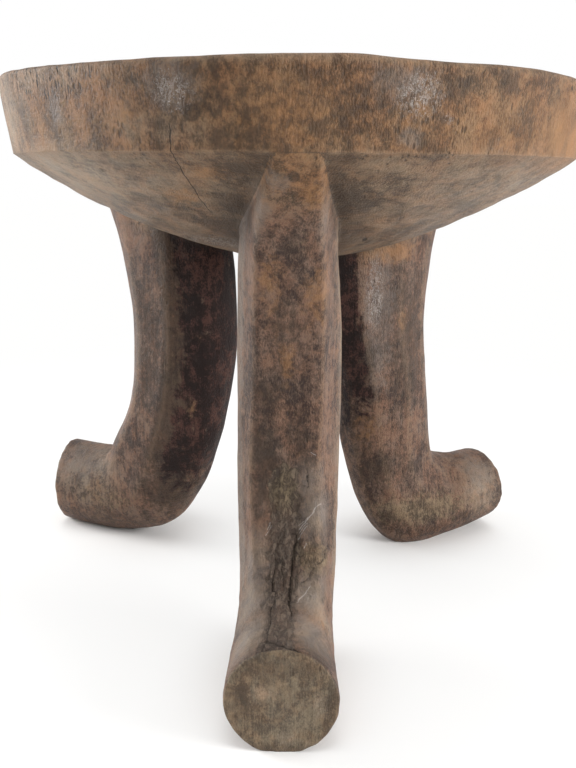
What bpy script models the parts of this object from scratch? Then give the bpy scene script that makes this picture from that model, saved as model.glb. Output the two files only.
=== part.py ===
"""A low three-legged stool carved from one block of wood, in metres, +Z up.

The real stool is a single piece, so the parts below are its carved forms: a dished round seat with an
upright rim band and a bowl-shaped underside, and three heavy legs that turn outward into stubby feet.
Each leg is let into a notch in the underside and bears there over its whole head.
The frame's origin is on the floor, at the middle of the stool's outline seen from above.
"""

import math

import bmesh
import bpy
from mathutils import Vector

# Overall sizes
SEAT_RADIUS = 0.155
STOOL_HEIGHT = 0.292

# Seat
RIM_BAND = 0.034  # height of the upright band round the seat
RIM_TAPER = 0.004  # how far the band draws in from its top to its lower edge
LIP_WIDTH = 0.011  # flat top of the rim, outside the dish
LIP_ROUND = 0.0024  # worn outer and inner edges of the lip
DISH_DEPTH = 0.034
BOWL_DEPTH = 0.056  # from the rim's lower edge to the lowest point of the underside
BOWL_FULLNESS = 1.8  # 2 is a parabola, and less is nearer to a cone

# Legs
LEG_WIDTH = 0.050
TOE_REACH = 0.1665  # from the seat's axis to the sawn end of a foot
FOOT_HEIGHT = 0.057
SOLE_WEAR = 0.0013  # wood worn off under each foot, which leaves a flat sole
HEAD_DROP = 0.0015  # the leg's head starts this far below the rim's lower edge
HEAD_INSET = 0.0007  # and this far inside it
HEAD_SLOPE = 0.025  # fall of the leg's head from its front to its back
JOINT_GAP = 0.0005  # between a leg's head and its notch

# The legs were cut by eye and no two are alike. Azimuths are in degrees from +X. Reach is a share of the
# toe's reach, foot height and heel lift are shares of the foot's height, and the others are shares of the
# leg's width. Set-back moves the column inward, heel lift cuts the heel off higher, and drift moves the
# head, the column and the foot sideways, anticlockwise seen from above.
LEG_SHARES = {
    "front_leg": {
        "azimuth": -90,
        "reach": 1.0,
        "foot_height": 1.0,
        "heel_lift": 0.02,
        "set_back": 0.0,
        "drift": (0.08, -0.02, -0.02),
    },
    "rear_right_leg": {
        "azimuth": 34,
        "reach": 0.975,
        "foot_height": 0.93,
        "heel_lift": -0.12,
        "set_back": 0.08,
        "drift": (0.08, 0.10, -0.15),
    },
    "rear_left_leg": {
        "azimuth": 155,
        "reach": 1.055,
        "foot_height": 1.0,
        "heel_lift": 0.11,
        "set_back": -0.02,
        "drift": (0.06, 0.0, -0.08),
    },
}

# The leg's side view as chords from its back to its front, top to bottom:
# back radius, back height, front radius, front height, width.
# In the column, radii are shares of the seat's radius and heights are shares of the rim's lower edge.
# In the foot, radii are shares of the toe's reach and heights are shares of the foot's height.
HEAD_BACK_SHARE = 0.30
HEAD_WIDTH_SHARE = 0.86
COLUMN_SHARES = (
    (0.215, 0.845, 0.796, 0.865, 0.94),
    (0.218, 0.620, 0.705, 0.640, 1.06),
    (0.300, 0.440, 0.730, 0.415, 1.09),
)
FOOT_SHARES = (
    (0.335, 1.320, 0.738, 1.215, 1.02),
    (0.405, 0.620, 0.768, 1.070, 0.98),
    (0.530, 0.120, 0.800, 1.030, 0.98),
    (0.760, 0.000, 0.870, 1.000, 1.00),
    (1.000, 0.000, 1.000, 0.985, 1.03),
)
HEEL_CHORDS = 2  # the heel's lift is on this many chords of the foot
TURN_CHORDS = 3  # and the leg's side drift passes from column to foot over this many
COLUMN_SQUARENESS = 2.6  # 2 is an ellipse, and more is squarer
TOE_SQUARENESS = 2.15

# How finely the shapes are cut
SEAT_STEPS = 72
DISH_STEPS = 9
BOWL_STEPS = 9
ROUND_STEPS = 3
RING_POINTS = 28
SECTIONS_PER_CHORD = 3

BARK_BROWN = (0.145, 0.085, 0.048, 1.0)
SMOKED_BROWN = (0.085, 0.055, 0.038, 1.0)


def rim_bottom_height():
    return STOOL_HEIGHT - RIM_BAND


def rim_bottom_radius():
    return SEAT_RADIUS - RIM_TAPER


def clear_scene():
    for obj in list(bpy.data.objects):
        bpy.data.objects.remove(obj, do_unlink=True)


def new_collection(name):
    collection = bpy.data.collections.new(name)
    bpy.context.scene.collection.children.link(collection)
    return collection


def wood(name, colour, roughness):
    material = bpy.data.materials.new(name)
    material.use_nodes = True
    shader = material.node_tree.nodes["Principled BSDF"]
    shader.inputs["Base Color"].default_value = colour
    shader.inputs["Roughness"].default_value = roughness
    shader.inputs["Metallic"].default_value = 0.0
    return material


def corner(centre, radius, start, end):
    """Points of a rounded corner in the XZ plane, from the start angle to the end angle in degrees."""
    points = []
    for step in range(ROUND_STEPS + 1):
        angle = math.radians(start + (end - start) * step / ROUND_STEPS)
        points.append((centre[0] + radius * math.cos(angle), centre[1] + radius * math.sin(angle)))
    return points


def seat_profile():
    """The seat's half section, from the middle of the dish, over the lip and down to the lowest point."""
    dish_radius = SEAT_RADIUS - LIP_WIDTH
    points = []
    for step in range(DISH_STEPS):
        share = step / DISH_STEPS
        points.append((dish_radius * share, STOOL_HEIGHT - DISH_DEPTH * (1 - share**2)))
    lip_level = STOOL_HEIGHT - LIP_ROUND
    points += corner((dish_radius + LIP_ROUND, lip_level), LIP_ROUND, 150, 90)
    points += corner((SEAT_RADIUS - LIP_ROUND, lip_level), LIP_ROUND, 90, 0)
    for step in range(BOWL_STEPS + 1):
        share = 1 - step / BOWL_STEPS
        depth = BOWL_DEPTH * (1 - share**BOWL_FULLNESS)
        points.append((rim_bottom_radius() * share, rim_bottom_height() - depth))
    return points


def turned(name, profile, steps, material, collection):
    """A solid of revolution about Z from a profile that runs down its outer side."""
    mesh = bpy.data.meshes.new(name)
    edges = [(i, i + 1) for i in range(len(profile) - 1)]
    mesh.from_pydata([(x, 0, z) for x, z in profile], edges, [])
    obj = bpy.data.objects.new(name, mesh)
    mesh.materials.append(material)
    collection.objects.link(obj)
    screw = obj.modifiers.new("turn", "SCREW")
    screw.axis = "Z"
    screw.steps = screw.render_steps = steps
    screw.use_merge_vertices = True
    screw.merge_threshold = 0.00001
    screw.use_smooth_shade = True
    return obj


def leg_chords(leg, grown):
    """The leg's chords as (back radius, back height, front radius, front height, half width, drift)."""
    half, back_in = LEG_WIDTH / 2, leg["set_back"] * LEG_WIDTH
    head_drift, column_drift, foot_drift = (share * LEG_WIDTH for share in leg["drift"])
    head_top = rim_bottom_height() - HEAD_DROP + grown
    head_front = rim_bottom_radius() - HEAD_INSET + grown
    head_back = HEAD_BACK_SHARE * SEAT_RADIUS - grown
    head_half = HEAD_WIDTH_SHARE * half + grown
    chords = [(head_back, head_top - HEAD_SLOPE, head_front, head_top, head_half, head_drift)]
    for back_r, back_z, front_r, front_z, width in COLUMN_SHARES:
        back = (back_r * SEAT_RADIUS - back_in - grown, back_z * rim_bottom_height())
        front = (front_r * SEAT_RADIUS - back_in + grown, front_z * rim_bottom_height())
        chords.append((*back, *front, width * half + grown, column_drift))
    reach, height = leg["reach"] * TOE_REACH, leg["foot_height"] * FOOT_HEIGHT
    for i, (back_r, back_z, front_r, front_z, width) in enumerate(FOOT_SHARES):
        column_share = max(0, 1 - i / TURN_CHORDS)
        inward = back_in * column_share
        drift = foot_drift + (column_drift - foot_drift) * column_share
        is_heel = 0 < i <= HEEL_CHORDS
        lift = leg["heel_lift"] * FOOT_HEIGHT * is_heel - SOLE_WEAR
        back = (back_r * reach - inward, back_z * height + lift)
        front = (front_r * reach - inward, front_z * height)
        chords.append((*back, *front, width * half, drift))
    return chords


def eased(values, place):
    """A smooth curve through equally spaced values, read at a place from 0 to len(values) - 1."""
    last = len(values) - 1
    i = min(int(place), last - 1)
    t = place - i
    before, a, b, after = values[max(i - 1, 0)], values[i], values[i + 1], values[min(i + 2, last)]
    bend = 2 * before - 5 * a + 4 * b - after
    twist = 3 * (a - b) + after - before
    return a + (b - before + (bend + twist * t) * t) * t / 2


def signed_power(value, power):
    return math.copysign(abs(value) ** power, value)


def leg_rings(leg, grown=0.0):
    """Cross sections of a leg from its head to its toe, each a closed ring of points."""
    chords = leg_chords(leg, grown)
    columns = list(zip(*chords))
    last = len(chords) - 1
    angle = math.radians(leg["azimuth"])
    outward = Vector((math.cos(angle), math.sin(angle), 0))
    sideways = Vector((-math.sin(angle), math.cos(angle), 0))
    upward = Vector((0, 0, 1))
    rings = []
    for step in range(last * SECTIONS_PER_CHORD + 1):
        place = step / SECTIONS_PER_CHORD
        back_r, back_z, front_r, front_z, half_width, drift = (eased(c, place) for c in columns)
        along = place / last
        power = 2 / (COLUMN_SQUARENESS + (TOE_SQUARENESS - COLUMN_SQUARENESS) * along)
        back = outward * back_r + upward * back_z + sideways * drift
        front = outward * front_r + upward * front_z + sideways * drift
        ring = []
        for point in range(RING_POINTS):
            turn = 2 * math.pi * point / RING_POINTS
            depth = signed_power(math.cos(turn), power)
            side = signed_power(math.sin(turn), power)
            centre = (back + front) / 2
            ring.append(centre + (front - back) / 2 * depth + sideways * half_width * side)
        rings.append(ring)
    return rings


def lofted(name, rings, material, collection):
    """A closed solid through the rings, cut flat on the floor."""
    shape = bmesh.new()
    loops = [[shape.verts.new(point) for point in ring] for ring in rings]
    for upper, lower in zip(loops, loops[1:]):
        for i, corner_vert in enumerate(upper):
            j = (i + 1) % len(upper)
            shape.faces.new((corner_vert, lower[i], lower[j], upper[j]))
    shape.faces.new(loops[0])
    shape.faces.new(loops[-1][::-1])
    everything = shape.verts[:] + shape.edges[:] + shape.faces[:]
    cut = bmesh.ops.bisect_plane(
        shape, geom=everything, plane_co=(0, 0, 0), plane_no=(0, 0, 1), clear_inner=True
    )
    rim = [part for part in cut["geom_cut"] if isinstance(part, bmesh.types.BMEdge)]
    bmesh.ops.contextual_create(shape, geom=rim)
    bmesh.ops.recalc_face_normals(shape, faces=shape.faces)
    mesh = bpy.data.meshes.new(name)
    shape.to_mesh(mesh)
    shape.free()
    mesh.materials.append(material)
    mesh.shade_smooth()
    mesh.set_sharp_from_angle(angle=math.radians(40))
    obj = bpy.data.objects.new(name, mesh)
    collection.objects.link(obj)
    return obj


def cut_notch(seat, cutter):
    cutter.hide_render = True
    cutter.display_type = "WIRE"
    notch = seat.modifiers.new(cutter.name, "BOOLEAN")
    notch.operation = "DIFFERENCE"
    notch.solver = "EXACT"
    notch.object = cutter


def outline_middle(legs):
    """The middle of the stool's outline seen from above, measured from the seat's axis."""
    spots = [vert.co for leg in legs for vert in leg.data.vertices]
    middle = []
    for i in range(2):
        extent = [spot[i] for spot in spots] + [-SEAT_RADIUS, SEAT_RADIUS]
        middle.append((min(extent) + max(extent)) / 2)
    return Vector((*middle, 0))


def build_stool():
    clear_scene()
    parts = new_collection("stool")
    cutters = new_collection("cutters")
    rim_wood = wood("rim wood", BARK_BROWN, 0.55)
    leg_wood = wood("leg wood", SMOKED_BROWN, 0.5)

    seat = turned("seat", seat_profile(), SEAT_STEPS, rim_wood, parts)
    legs = []
    for name, leg in LEG_SHARES.items():
        legs.append(lofted(name, leg_rings(leg), leg_wood, parts))
        cutter = lofted(name + "_notch", leg_rings(leg, JOINT_GAP), leg_wood, cutters)
        cut_notch(seat, cutter)

    # The toes reach past the rim at the front and at the left, so the seat's axis stands off the middle.
    axis = bpy.data.objects.new("seat_axis", None)
    axis.location = -outline_middle(legs)
    parts.objects.link(axis)
    for obj in [seat, *legs, *cutters.objects]:
        obj.parent = axis


build_stool()
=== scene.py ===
# %% [markdown]
# # A three-legged stool carved from one block of wood
#
# The real stool is a single block: a dished round seat with an upright rim, a bowl-shaped underside and
# three heavy legs that turn outward into stubby feet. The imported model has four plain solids, and this
# script dresses each of them: it turns and carves a finer piece in the same place, gives it the adze
# marks, splits and stains of an old stool, and lights it softly on a pale floor.

import math
from functools import partial, reduce
from types import SimpleNamespace

import bmesh
import bpy
import numpy as np
from mathutils import Matrix, Vector, noise
from mathutils.bvhtree import BVHTree


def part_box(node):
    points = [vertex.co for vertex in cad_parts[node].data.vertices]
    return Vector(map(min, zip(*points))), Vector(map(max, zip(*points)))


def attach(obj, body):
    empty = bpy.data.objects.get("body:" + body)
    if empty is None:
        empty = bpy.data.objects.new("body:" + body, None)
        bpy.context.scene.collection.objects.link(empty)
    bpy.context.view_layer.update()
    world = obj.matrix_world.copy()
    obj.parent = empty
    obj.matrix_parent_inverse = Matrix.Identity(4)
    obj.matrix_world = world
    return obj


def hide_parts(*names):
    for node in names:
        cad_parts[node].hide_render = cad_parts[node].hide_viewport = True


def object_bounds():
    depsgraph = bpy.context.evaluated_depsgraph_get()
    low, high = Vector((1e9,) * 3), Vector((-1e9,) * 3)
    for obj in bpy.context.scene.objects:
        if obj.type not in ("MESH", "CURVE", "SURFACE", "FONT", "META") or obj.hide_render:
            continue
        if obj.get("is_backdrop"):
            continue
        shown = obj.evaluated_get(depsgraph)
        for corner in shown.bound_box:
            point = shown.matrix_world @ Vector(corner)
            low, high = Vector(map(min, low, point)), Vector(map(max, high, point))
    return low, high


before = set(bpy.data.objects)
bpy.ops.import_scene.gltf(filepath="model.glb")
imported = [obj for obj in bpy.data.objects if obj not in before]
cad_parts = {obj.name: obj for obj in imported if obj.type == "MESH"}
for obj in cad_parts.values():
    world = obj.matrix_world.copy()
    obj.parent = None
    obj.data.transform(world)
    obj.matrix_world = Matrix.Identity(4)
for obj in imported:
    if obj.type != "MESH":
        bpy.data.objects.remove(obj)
cad_low, cad_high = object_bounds()
seat_low, seat_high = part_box("seat")
SEAT_AXIS = Vector(((seat_low.x + seat_high.x) / 2, (seat_low.y + seat_high.y) / 2, 0))
print("nodes:", sorted(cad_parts))
print("seat axis at", [round(1000 * n, 1) for n in SEAT_AXIS], "mm")

# %% [markdown]
# ## Camera
#
# The stool is seen from just above its rim, a little to the right of its front leg, from about three
# seat radii away. The lens and place come from the curves of the rim and the spread of the feet. The
# camera is made first, so that every later look at the work is from the right place.

# %% Camera
MM = 0.001
SEAT_RADIUS = 0.155
IMAGE_HEIGHT, FOCAL_PIXELS, SENSOR_WIDTH = 768, 765.44, 36
PITCH, ROLL, YAW = 0.2715, 0.0099, 0.0143
CAMERA_PLACE = Vector((0.0285, -2.9216, 1.6204))  # in seat radii from where the seat's axis meets the floor
camera_data = bpy.data.cameras.new("camera")
camera_data.sensor_width = SENSOR_WIDTH
camera_data.lens = FOCAL_PIXELS * SENSOR_WIDTH / IMAGE_HEIGHT
camera_data.clip_start = 0.01
camera = bpy.data.objects.new("camera", camera_data)
bpy.context.scene.collection.objects.link(camera)
turn = Matrix.Rotation(YAW, 4, "Z") @ Matrix.Rotation(math.pi / 2 - PITCH, 4, "X")
place = CAMERA_PLACE * SEAT_RADIUS + SEAT_AXIS
camera.matrix_world = Matrix.Translation(place) @ turn @ Matrix.Rotation(ROLL, 4, "Z")
bpy.context.scene.camera = camera
print("lens", round(camera_data.lens, 2), "mm, camera at", [round(n, 3) for n in place])

# %% [markdown]
# ## Turned blanks
#
# A seat and a leg have nothing in common but this: both are closed skins of rings. So each starts as a
# blank, a half outline spun round the Z axis like work on a lathe. Spin keeps the mesh to clean rows and
# columns, and merging the doubled points closes the two poles. Each point of a blank is then laid where
# the carver's tool would leave it.

# %% A blank on the lathe
SECTORS = 8
MERGE_DISTANCE = 1e-5


def turned_blank(outline, steps):
    """A closed skin from a half outline of (radius, height) points spun round Z."""
    blank = bmesh.new()
    points = [blank.verts.new((x, 0, z)) for x, z in outline]
    edges = [blank.edges.new(pair) for pair in zip(points, points[1:])]
    centred = {"cent": (0, 0, 0), "axis": (0, 0, 1), "dvec": (0, 0, 0)}
    sector = 2 * math.pi / SECTORS
    bmesh.ops.spin(blank, geom=points + edges, angle=sector, steps=steps // SECTORS, **centred)
    slice_parts = blank.verts[:] + blank.edges[:] + blank.faces[:]
    bmesh.ops.spin(
        blank, geom=slice_parts, angle=sector * (SECTORS - 1), steps=SECTORS - 1,
        use_duplicate=True, **centred,
    )
    bmesh.ops.remove_doubles(blank, verts=blank.verts, dist=MERGE_DISTANCE)
    bmesh.ops.recalc_face_normals(blank, faces=blank.faces)
    return blank


def measured(blank, what):
    """The points' places ("co") or normals ("normal") as rows of numbers."""
    mesh = bpy.data.meshes.new("measured")
    blank.to_mesh(mesh)
    values = np.empty(3 * len(mesh.vertices), np.float32)
    mesh.vertices.foreach_get(what, values)
    bpy.data.meshes.remove(mesh)
    return values.reshape(-1, 3).astype(float)


def spots_of(blank):
    """Where the points of a blank are."""
    return measured(blank, "co")


def lay(blank, spots):
    """Puts every point of a blank at its new spot."""
    for vert, spot in zip(blank.verts, spots):
        vert.co = spot
    blank.normal_update()


def normals_of(blank):
    """Which way the skin faces at the points of a blank."""
    return measured(blank, "normal")


def eased(values, places):
    """A smooth curve through equally spaced values, read at places from 0 to len(values) - 1."""
    values = np.asarray(values, float)
    last = len(values) - 1
    i = np.clip(places.astype(int), 0, last - 1)
    t = places - i
    before, a = values[np.maximum(i - 1, 0)], values[i]
    b, after = values[i + 1], values[np.minimum(i + 2, last)]
    bend = 2 * before - 5 * a + 4 * b - after
    twist = 3 * (a - b) + after - before
    return a + (b - before + (bend + twist * t) * t) * t / 2


def ramp(values, low, high):
    """0 below low, 1 above high and a smooth step between. Low may be above high."""
    share = np.clip((values - low) / (high - low), 0, 1)
    return share * share * (3 - 2 * share)


print("lathe ready")

# %% [markdown]
# ## The seat's outline
#
# From the middle of the dish the outline climbs to a narrow flat lip, rounds over its worn edge, goes
# down the upright band, turns at a crisp arris and runs in under the bowl. Rows lie closest on the band,
# which faces the viewer.

# %% The seat's outline and blank
STOOL_HEIGHT = 0.292
RIM_BAND, RIM_TAPER = 0.034, 0.004
LIP_WIDTH, LIP_ROUND = 0.011, 0.0024
DISH_DEPTH, BOWL_DEPTH, BOWL_FULLNESS = 0.034, 0.056, 1.8
DISH_ROWS, BAND_ROWS, BOWL_ROWS, SEAT_STEPS = 50, 31, 78, 560
ARRIS_HEIGHT = STOOL_HEIGHT - RIM_BAND
ARRIS_RADIUS = SEAT_RADIUS - RIM_TAPER


def bowl_height(radius):
    """Height of the bowl-shaped underside at a radius."""
    return ARRIS_HEIGHT - BOWL_DEPTH * (1 - (radius / ARRIS_RADIUS) ** BOWL_FULLNESS)


def seat_outline():
    """Half of the seat's section, from the middle of the dish round to the middle of the bowl."""
    points = []
    dish_radius = SEAT_RADIUS - LIP_WIDTH
    for row in range(DISH_ROWS):
        share = row / DISH_ROWS
        points.append((dish_radius * share, STOOL_HEIGHT - DISH_DEPTH * (1 - share**2)))
    for middle, start, end in ((dish_radius + LIP_ROUND, 150, 90), (SEAT_RADIUS - LIP_ROUND, 90, 0)):
        for step in range(4):
            angle = math.radians(start + (end - start) * step / 3)
            height = STOOL_HEIGHT - LIP_ROUND + LIP_ROUND * math.sin(angle)
            points.append((middle + LIP_ROUND * math.cos(angle), height))
    band_top = STOOL_HEIGHT - LIP_ROUND
    for row in (*range(1, BAND_ROWS), BAND_ROWS - 0.4):
        share = row / BAND_ROWS
        points.append((SEAT_RADIUS - RIM_TAPER * share, band_top + (ARRIS_HEIGHT - band_top) * share))
    for row in (0, 0.2, *range(1, BOWL_ROWS + 1)):
        radius = ARRIS_RADIUS * (1 - row / BOWL_ROWS)
        points.append((radius, bowl_height(radius)))
    return points


seat_blank = turned_blank(seat_outline(), SEAT_STEPS)
print("seat blank:", len(seat_blank.verts), "points,", len(seat_blank.faces), "faces")

# %% [markdown]
# ## The legs' shape
#
# A leg is described as a carver would mark it: straight lines drawn across its side view, from its back
# to its front, and how wide it is there. The section on each line isn't round. It is hewn in long flat
# facets that meet in soft arrises, and only the foot is worked nearly round. The facets are given by
# the direction that they face and how far out they lie, and each leg has its own, because they were
# cut by eye. A trim moves one line by so many millimetres: its back out and up, its front out, its
# half width and its drift aside.

# %% The legs' side views
LEG_WIDTH, TOE_REACH, FOOT_HEIGHT, SOLE_WEAR = 0.050, 0.1665, 0.057, 0.0006
LEGS = {
    "front_leg": {
        "azimuth": -90, "reach": 1.0, "foot": 1.0, "heel_lift": 0.02, "set_back": 0.0,
        "drift": (0.078, -0.002, -0.025), "toe_drop": 0.09, "slim": 0.975, "skew": 0.0,
        "soot_and_shade": (118, 136), "soot_and_shade_foot": 0.76,
        "trim": ((1, 0, 0, 0, 1.5, -1.5), (2, 0, 0, 0, 0.8, -0.8)),
        "facets": ((0, 0.985), (60, 1.08), (92, 1.0), (130, 0.955), (180, 1.0),
                   (-130, 0.955), (-93, 1.0), (-60, 1.07)),
    },
    "rear_right_leg": {
        "azimuth": 34, "reach": 0.975, "foot": 0.93, "heel_lift": -0.12, "set_back": 0.08,
        "drift": (0.08, 0.10, -0.15), "toe_drop": 0.0, "slim": 1.0, "skew": 0.0,
        "soot_and_shade": (122, 143), "soot_and_shade_foot": 0.60,
        "trim": ((2, 0, 0, -4.5, 0, 0), (3, 0, 0, -1.5, 0, 0), (5, 0, 0, 1, 0, 0), (6, 0, 0, 2.5, 0, 0),
                 (7, 0, 0, 2.5, 0, 0), (9, 0, 4.5, 0, 0, 0)),
        "facets": ((0, 0.97), (58, 1.06), (95, 1.0), (130, 0.96), (180, 1.0),
                   (-146, 0.98), (-104, 0.955), (-72, 0.97), (-38, 1.01)),
    },
    "rear_left_leg": {
        "azimuth": 155, "reach": 1.06, "foot": 0.985, "heel_lift": 0.11, "set_back": -0.02,
        "drift": (0.06, 0.0, -0.08), "toe_drop": 0.0, "slim": 1.0, "skew": 0.3,
        "soot_and_shade": (98, 126), "soot_and_shade_foot": 0.76,
        "trim": ((2, 12.5, 0, 0, 0, 0), (3, 8, 0, 0, 0, 0), (5, -4, 0, 1.5, 0, 0), (6, -1.6, 0, 2, 0, 0),
                 (7, 0, 0, 1.5, 0, 0)),
        "facets": ((0, 0.97), (38, 1.055), (78, 0.99), (122, 0.95), (158, 1.0), (180, 1.0),
                   (-130, 0.96), (-92, 1.0), (-58, 1.07)),
    },
}
# Back radius, back height, front radius, front height, width. Radii are shares of the seat's radius and
# heights are shares of the arris' height. The first line lies inside the seat, where it isn't seen.
COLUMN_LINES = (
    (0.300, 0.960, 0.955, 1.020, 0.50),
    (0.300, 0.897, 0.972, 0.996, 0.57),
    (0.215, 0.845, 0.796, 0.865, 0.90),
    (0.218, 0.620, 0.705, 0.640, 1.06),
    (0.300, 0.440, 0.730, 0.415, 1.07),
)
# The same for the foot, as shares of the toe's reach and of the foot's height.
FOOT_LINES = (
    (0.335, 1.320, 0.738, 1.215, 1.00),
    (0.405, 0.620, 0.768, 1.070, 0.97),
    (0.530, 0.120, 0.800, 1.030, 0.97),
    (0.760, 0.000, 0.870, 1.000, 0.99),
    (1.000, 0.000, 1.000, 0.985, 1.03),
)
HEEL_LINES, TURN_LINES = 2, 3


def side_lines(leg):
    """The leg's lines in metres: back radius and height, front radius and height, half width, drift."""
    half, back_in = LEG_WIDTH / 2 * leg["slim"], leg["set_back"] * LEG_WIDTH
    head_drift, column_drift, foot_drift = (share * LEG_WIDTH for share in leg["drift"])
    lines = []
    for i, (back_r, back_z, front_r, front_z, width) in enumerate(COLUMN_LINES):
        inward, drift = (0, head_drift) if i < 2 else (back_in, column_drift)
        lines.append((
            back_r * SEAT_RADIUS - inward, back_z * ARRIS_HEIGHT,
            front_r * SEAT_RADIUS - inward, front_z * ARRIS_HEIGHT, width * half, drift,
        ))
    reach, height = leg["reach"] * TOE_REACH, leg["foot"] * FOOT_HEIGHT
    for i, (back_r, back_z, front_r, front_z, width) in enumerate(FOOT_LINES):
        share = max(0, 1 - i / TURN_LINES)
        inward, drift = back_in * share, foot_drift + (column_drift - foot_drift) * share
        lift = leg["heel_lift"] * FOOT_HEIGHT * (0 < i <= HEEL_LINES) - SOLE_WEAR
        front_z -= leg["toe_drop"] * i / (len(FOOT_LINES) - 1)
        lines.append((
            back_r * reach - inward, back_z * height + lift,
            front_r * reach - inward, front_z * height, width * half, drift,
        ))
    lines = np.array(lines)
    for i, back_out, back_up, front_out, wider, aside in leg["trim"]:
        lines[i] += np.array((back_out, back_up, front_out, 0, wider, aside)) * MM
    return lines


for name, leg in LEGS.items():
    print(name, "has", len(side_lines(leg)), "lines and", len(leg["facets"]), "facets")

# %% [markdown]
# ## Hewing a leg from its blank
#
# The blank is a spindle whose rows stand for places down the leg. Its angle round Z says where a point
# lies in the section, and its radius says how deep: 1 is the skin, and the rows that close the head and
# the sawn toe run in to 0. A soft minimum over the facets makes the arrises: a high power keeps them
# crisp on the column, and a low one lets the foot go round.

# %% Sections hewn in facets
LEG_ROWS = {"front_leg": 360, "rear_right_leg": 250, "rear_left_leg": 250}
LEG_STEPS = {"front_leg": 228, "rear_right_leg": 200, "rear_left_leg": 200}
TOE_ROWS, HEAD_ROWS = 20, 3
FACET_SWAY, FACET_SWELL = math.radians(7), 0.05
ROUND_FACETS, ROUND_SWELL, ROUND_FULLNESS = 13, 0.02, 1.068
CRISPNESS, ROUNDNESS = 24, 14
TOE_ROUND, TOE_HALF = 0.0016, 0.026
ROW_DROP = 0.01  # how far apart a leg's rows lie on its blank
FRONT_GATHER = 0.4


def section(leg, angles, along):
    """Radius of the section, and how near each point is to an arris, at angles and places along the leg."""
    wander = [noise.noise(Vector((3.1 * i, 0, 1.7))) for i in range(64)]
    stations = np.linspace(0, 1, 8)
    column = np.zeros_like(angles)
    best = np.zeros((2, len(angles)))
    for i, (faces, out) in enumerate(leg["facets"]):
        sway = FACET_SWAY * np.interp(along, stations, wander[5 * i:5 * i + 8])
        swell = 1 + FACET_SWELL * np.interp(along, stations, wander[5 * i + 9:5 * i + 17])
        reach = np.maximum(np.cos(angles - math.radians(faces) - sway), 1e-6) / (out * swell)
        column += reach**CRISPNESS
        best[1] = np.maximum(best[1], np.minimum(best[0], reach))
        best[0] = np.maximum(best[0], reach)
    round_sum = np.zeros_like(angles)
    for i in range(ROUND_FACETS):
        faces = 2 * math.pi * (i + 0.4) / ROUND_FACETS
        out = 1.0 + ROUND_SWELL * wander[i]
        round_sum += (np.maximum(np.cos(angles - faces), 1e-6) / out) ** ROUNDNESS
    footed = ramp(along, 0.62, 0.9)
    radius = (1 - footed) * column ** (-1 / CRISPNESS)
    radius += footed * ROUND_FULLNESS * round_sum ** (-1 / ROUNDNESS)
    arris = (1 - footed) * ramp(best[0] - best[1], 0.07, 0.0)
    return radius, arris


def row_table(lines, rows):
    """Depth, place and outward push of each row of a leg's blank."""
    last = len(lines) - 1
    fine = np.linspace(0, last, 400)
    back = np.stack([eased(lines[:, 0], fine), eased(lines[:, 1], fine)])
    front = np.stack([eased(lines[:, 2], fine), eased(lines[:, 3], fine)])
    steps = np.hypot(*np.diff((back + 3 * front) / 4, axis=1))
    length = np.concatenate([[0], np.cumsum(steps)])
    skin = np.interp(np.linspace(0, length[-1] - 1.6 * TOE_ROUND, rows), length, fine)
    table = [(step / HEAD_ROWS, 0.0, 0.0) for step in range(HEAD_ROWS)]
    table += [(1.0, place, 0.0) for place in skin]
    for angle in (0, 30, 60):
        inset = 1 - math.cos(math.radians(angle))
        push = math.sin(math.radians(angle)) - 1
        table.append((1 - inset * TOE_ROUND / TOE_HALF, last, push * TOE_ROUND))
    toe_edge = 1 - TOE_ROUND / TOE_HALF
    table += [(toe_edge * (1 - row / TOE_ROWS), last, 0.0) for row in range(TOE_ROWS + 1)]
    return np.array(table), length[-1]


def directions(leg):
    """A leg's way outward, its way sideways and up."""
    angle = math.radians(leg["azimuth"])
    outward = np.array((math.cos(angle), math.sin(angle), 0))
    sideways = np.array((-math.sin(angle), math.cos(angle), 0))
    return outward, sideways, np.array((0, 0, 1.0))


def hewn_leg(name):
    """The blank of a leg laid on its sections, with what is known of each point."""
    leg = LEGS[name]
    lines = side_lines(leg)
    table, length = row_table(lines, LEG_ROWS[name])
    outline = [(depth, -row * ROW_DROP) for row, (depth, _, _) in enumerate(table)]
    blank = turned_blank(outline, LEG_STEPS[name])
    spots = spots_of(blank)
    rows = np.rint(-spots[:, 2] / ROW_DROP).astype(int)
    angles = np.arctan2(spots[:, 1], spots[:, 0])
    if name == "front_leg":  # points gather on the front face, where the split is
        angles = angles - FRONT_GATHER * np.sin(angles)
    depth, places, push = table[rows].T
    back_r, back_z, front_r, front_z, half, drift = (eased(column, places) for column in lines.T)
    along = places / (len(lines) - 1)
    radius, arris = section(leg, angles, along)
    outward, sideways, upward = directions(leg)
    across = depth * radius * np.sin(angles) * half + drift
    share = (1 + depth * radius * np.cos(angles)) / 2
    r = back_r + (front_r - back_r) * share
    z = back_z + (front_z - back_z) * share
    tilt = np.stack([front_z - back_z, back_r - front_r])
    tilt /= np.hypot(*tilt)
    r, z = r + tilt[0] * push, z + tilt[1] * push
    r = r + leg["skew"] * (half - across + drift) * ramp(along, 0.85, 1.0)
    laid = r[:, None] * outward + z[:, None] * upward + across[:, None] * sideways
    lay(blank, laid)
    bmesh.ops.recalc_face_normals(blank, faces=blank.faces)
    known = {
        "angle": np.degrees(angles), "along": along, "depth": depth, "arris": arris * (depth > 0.99),
        "toe": ((depth < 0.999) & (along > 0.9)).astype(float),
    }
    print(name, len(blank.verts), "points,", round(1000 * length), "mm long,",
          "lowest", round(1000 * laid[:, 2].min(), 2), "mm")
    return blank, known


leg_blanks = {name: hewn_leg(name) for name in LEGS}

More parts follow.
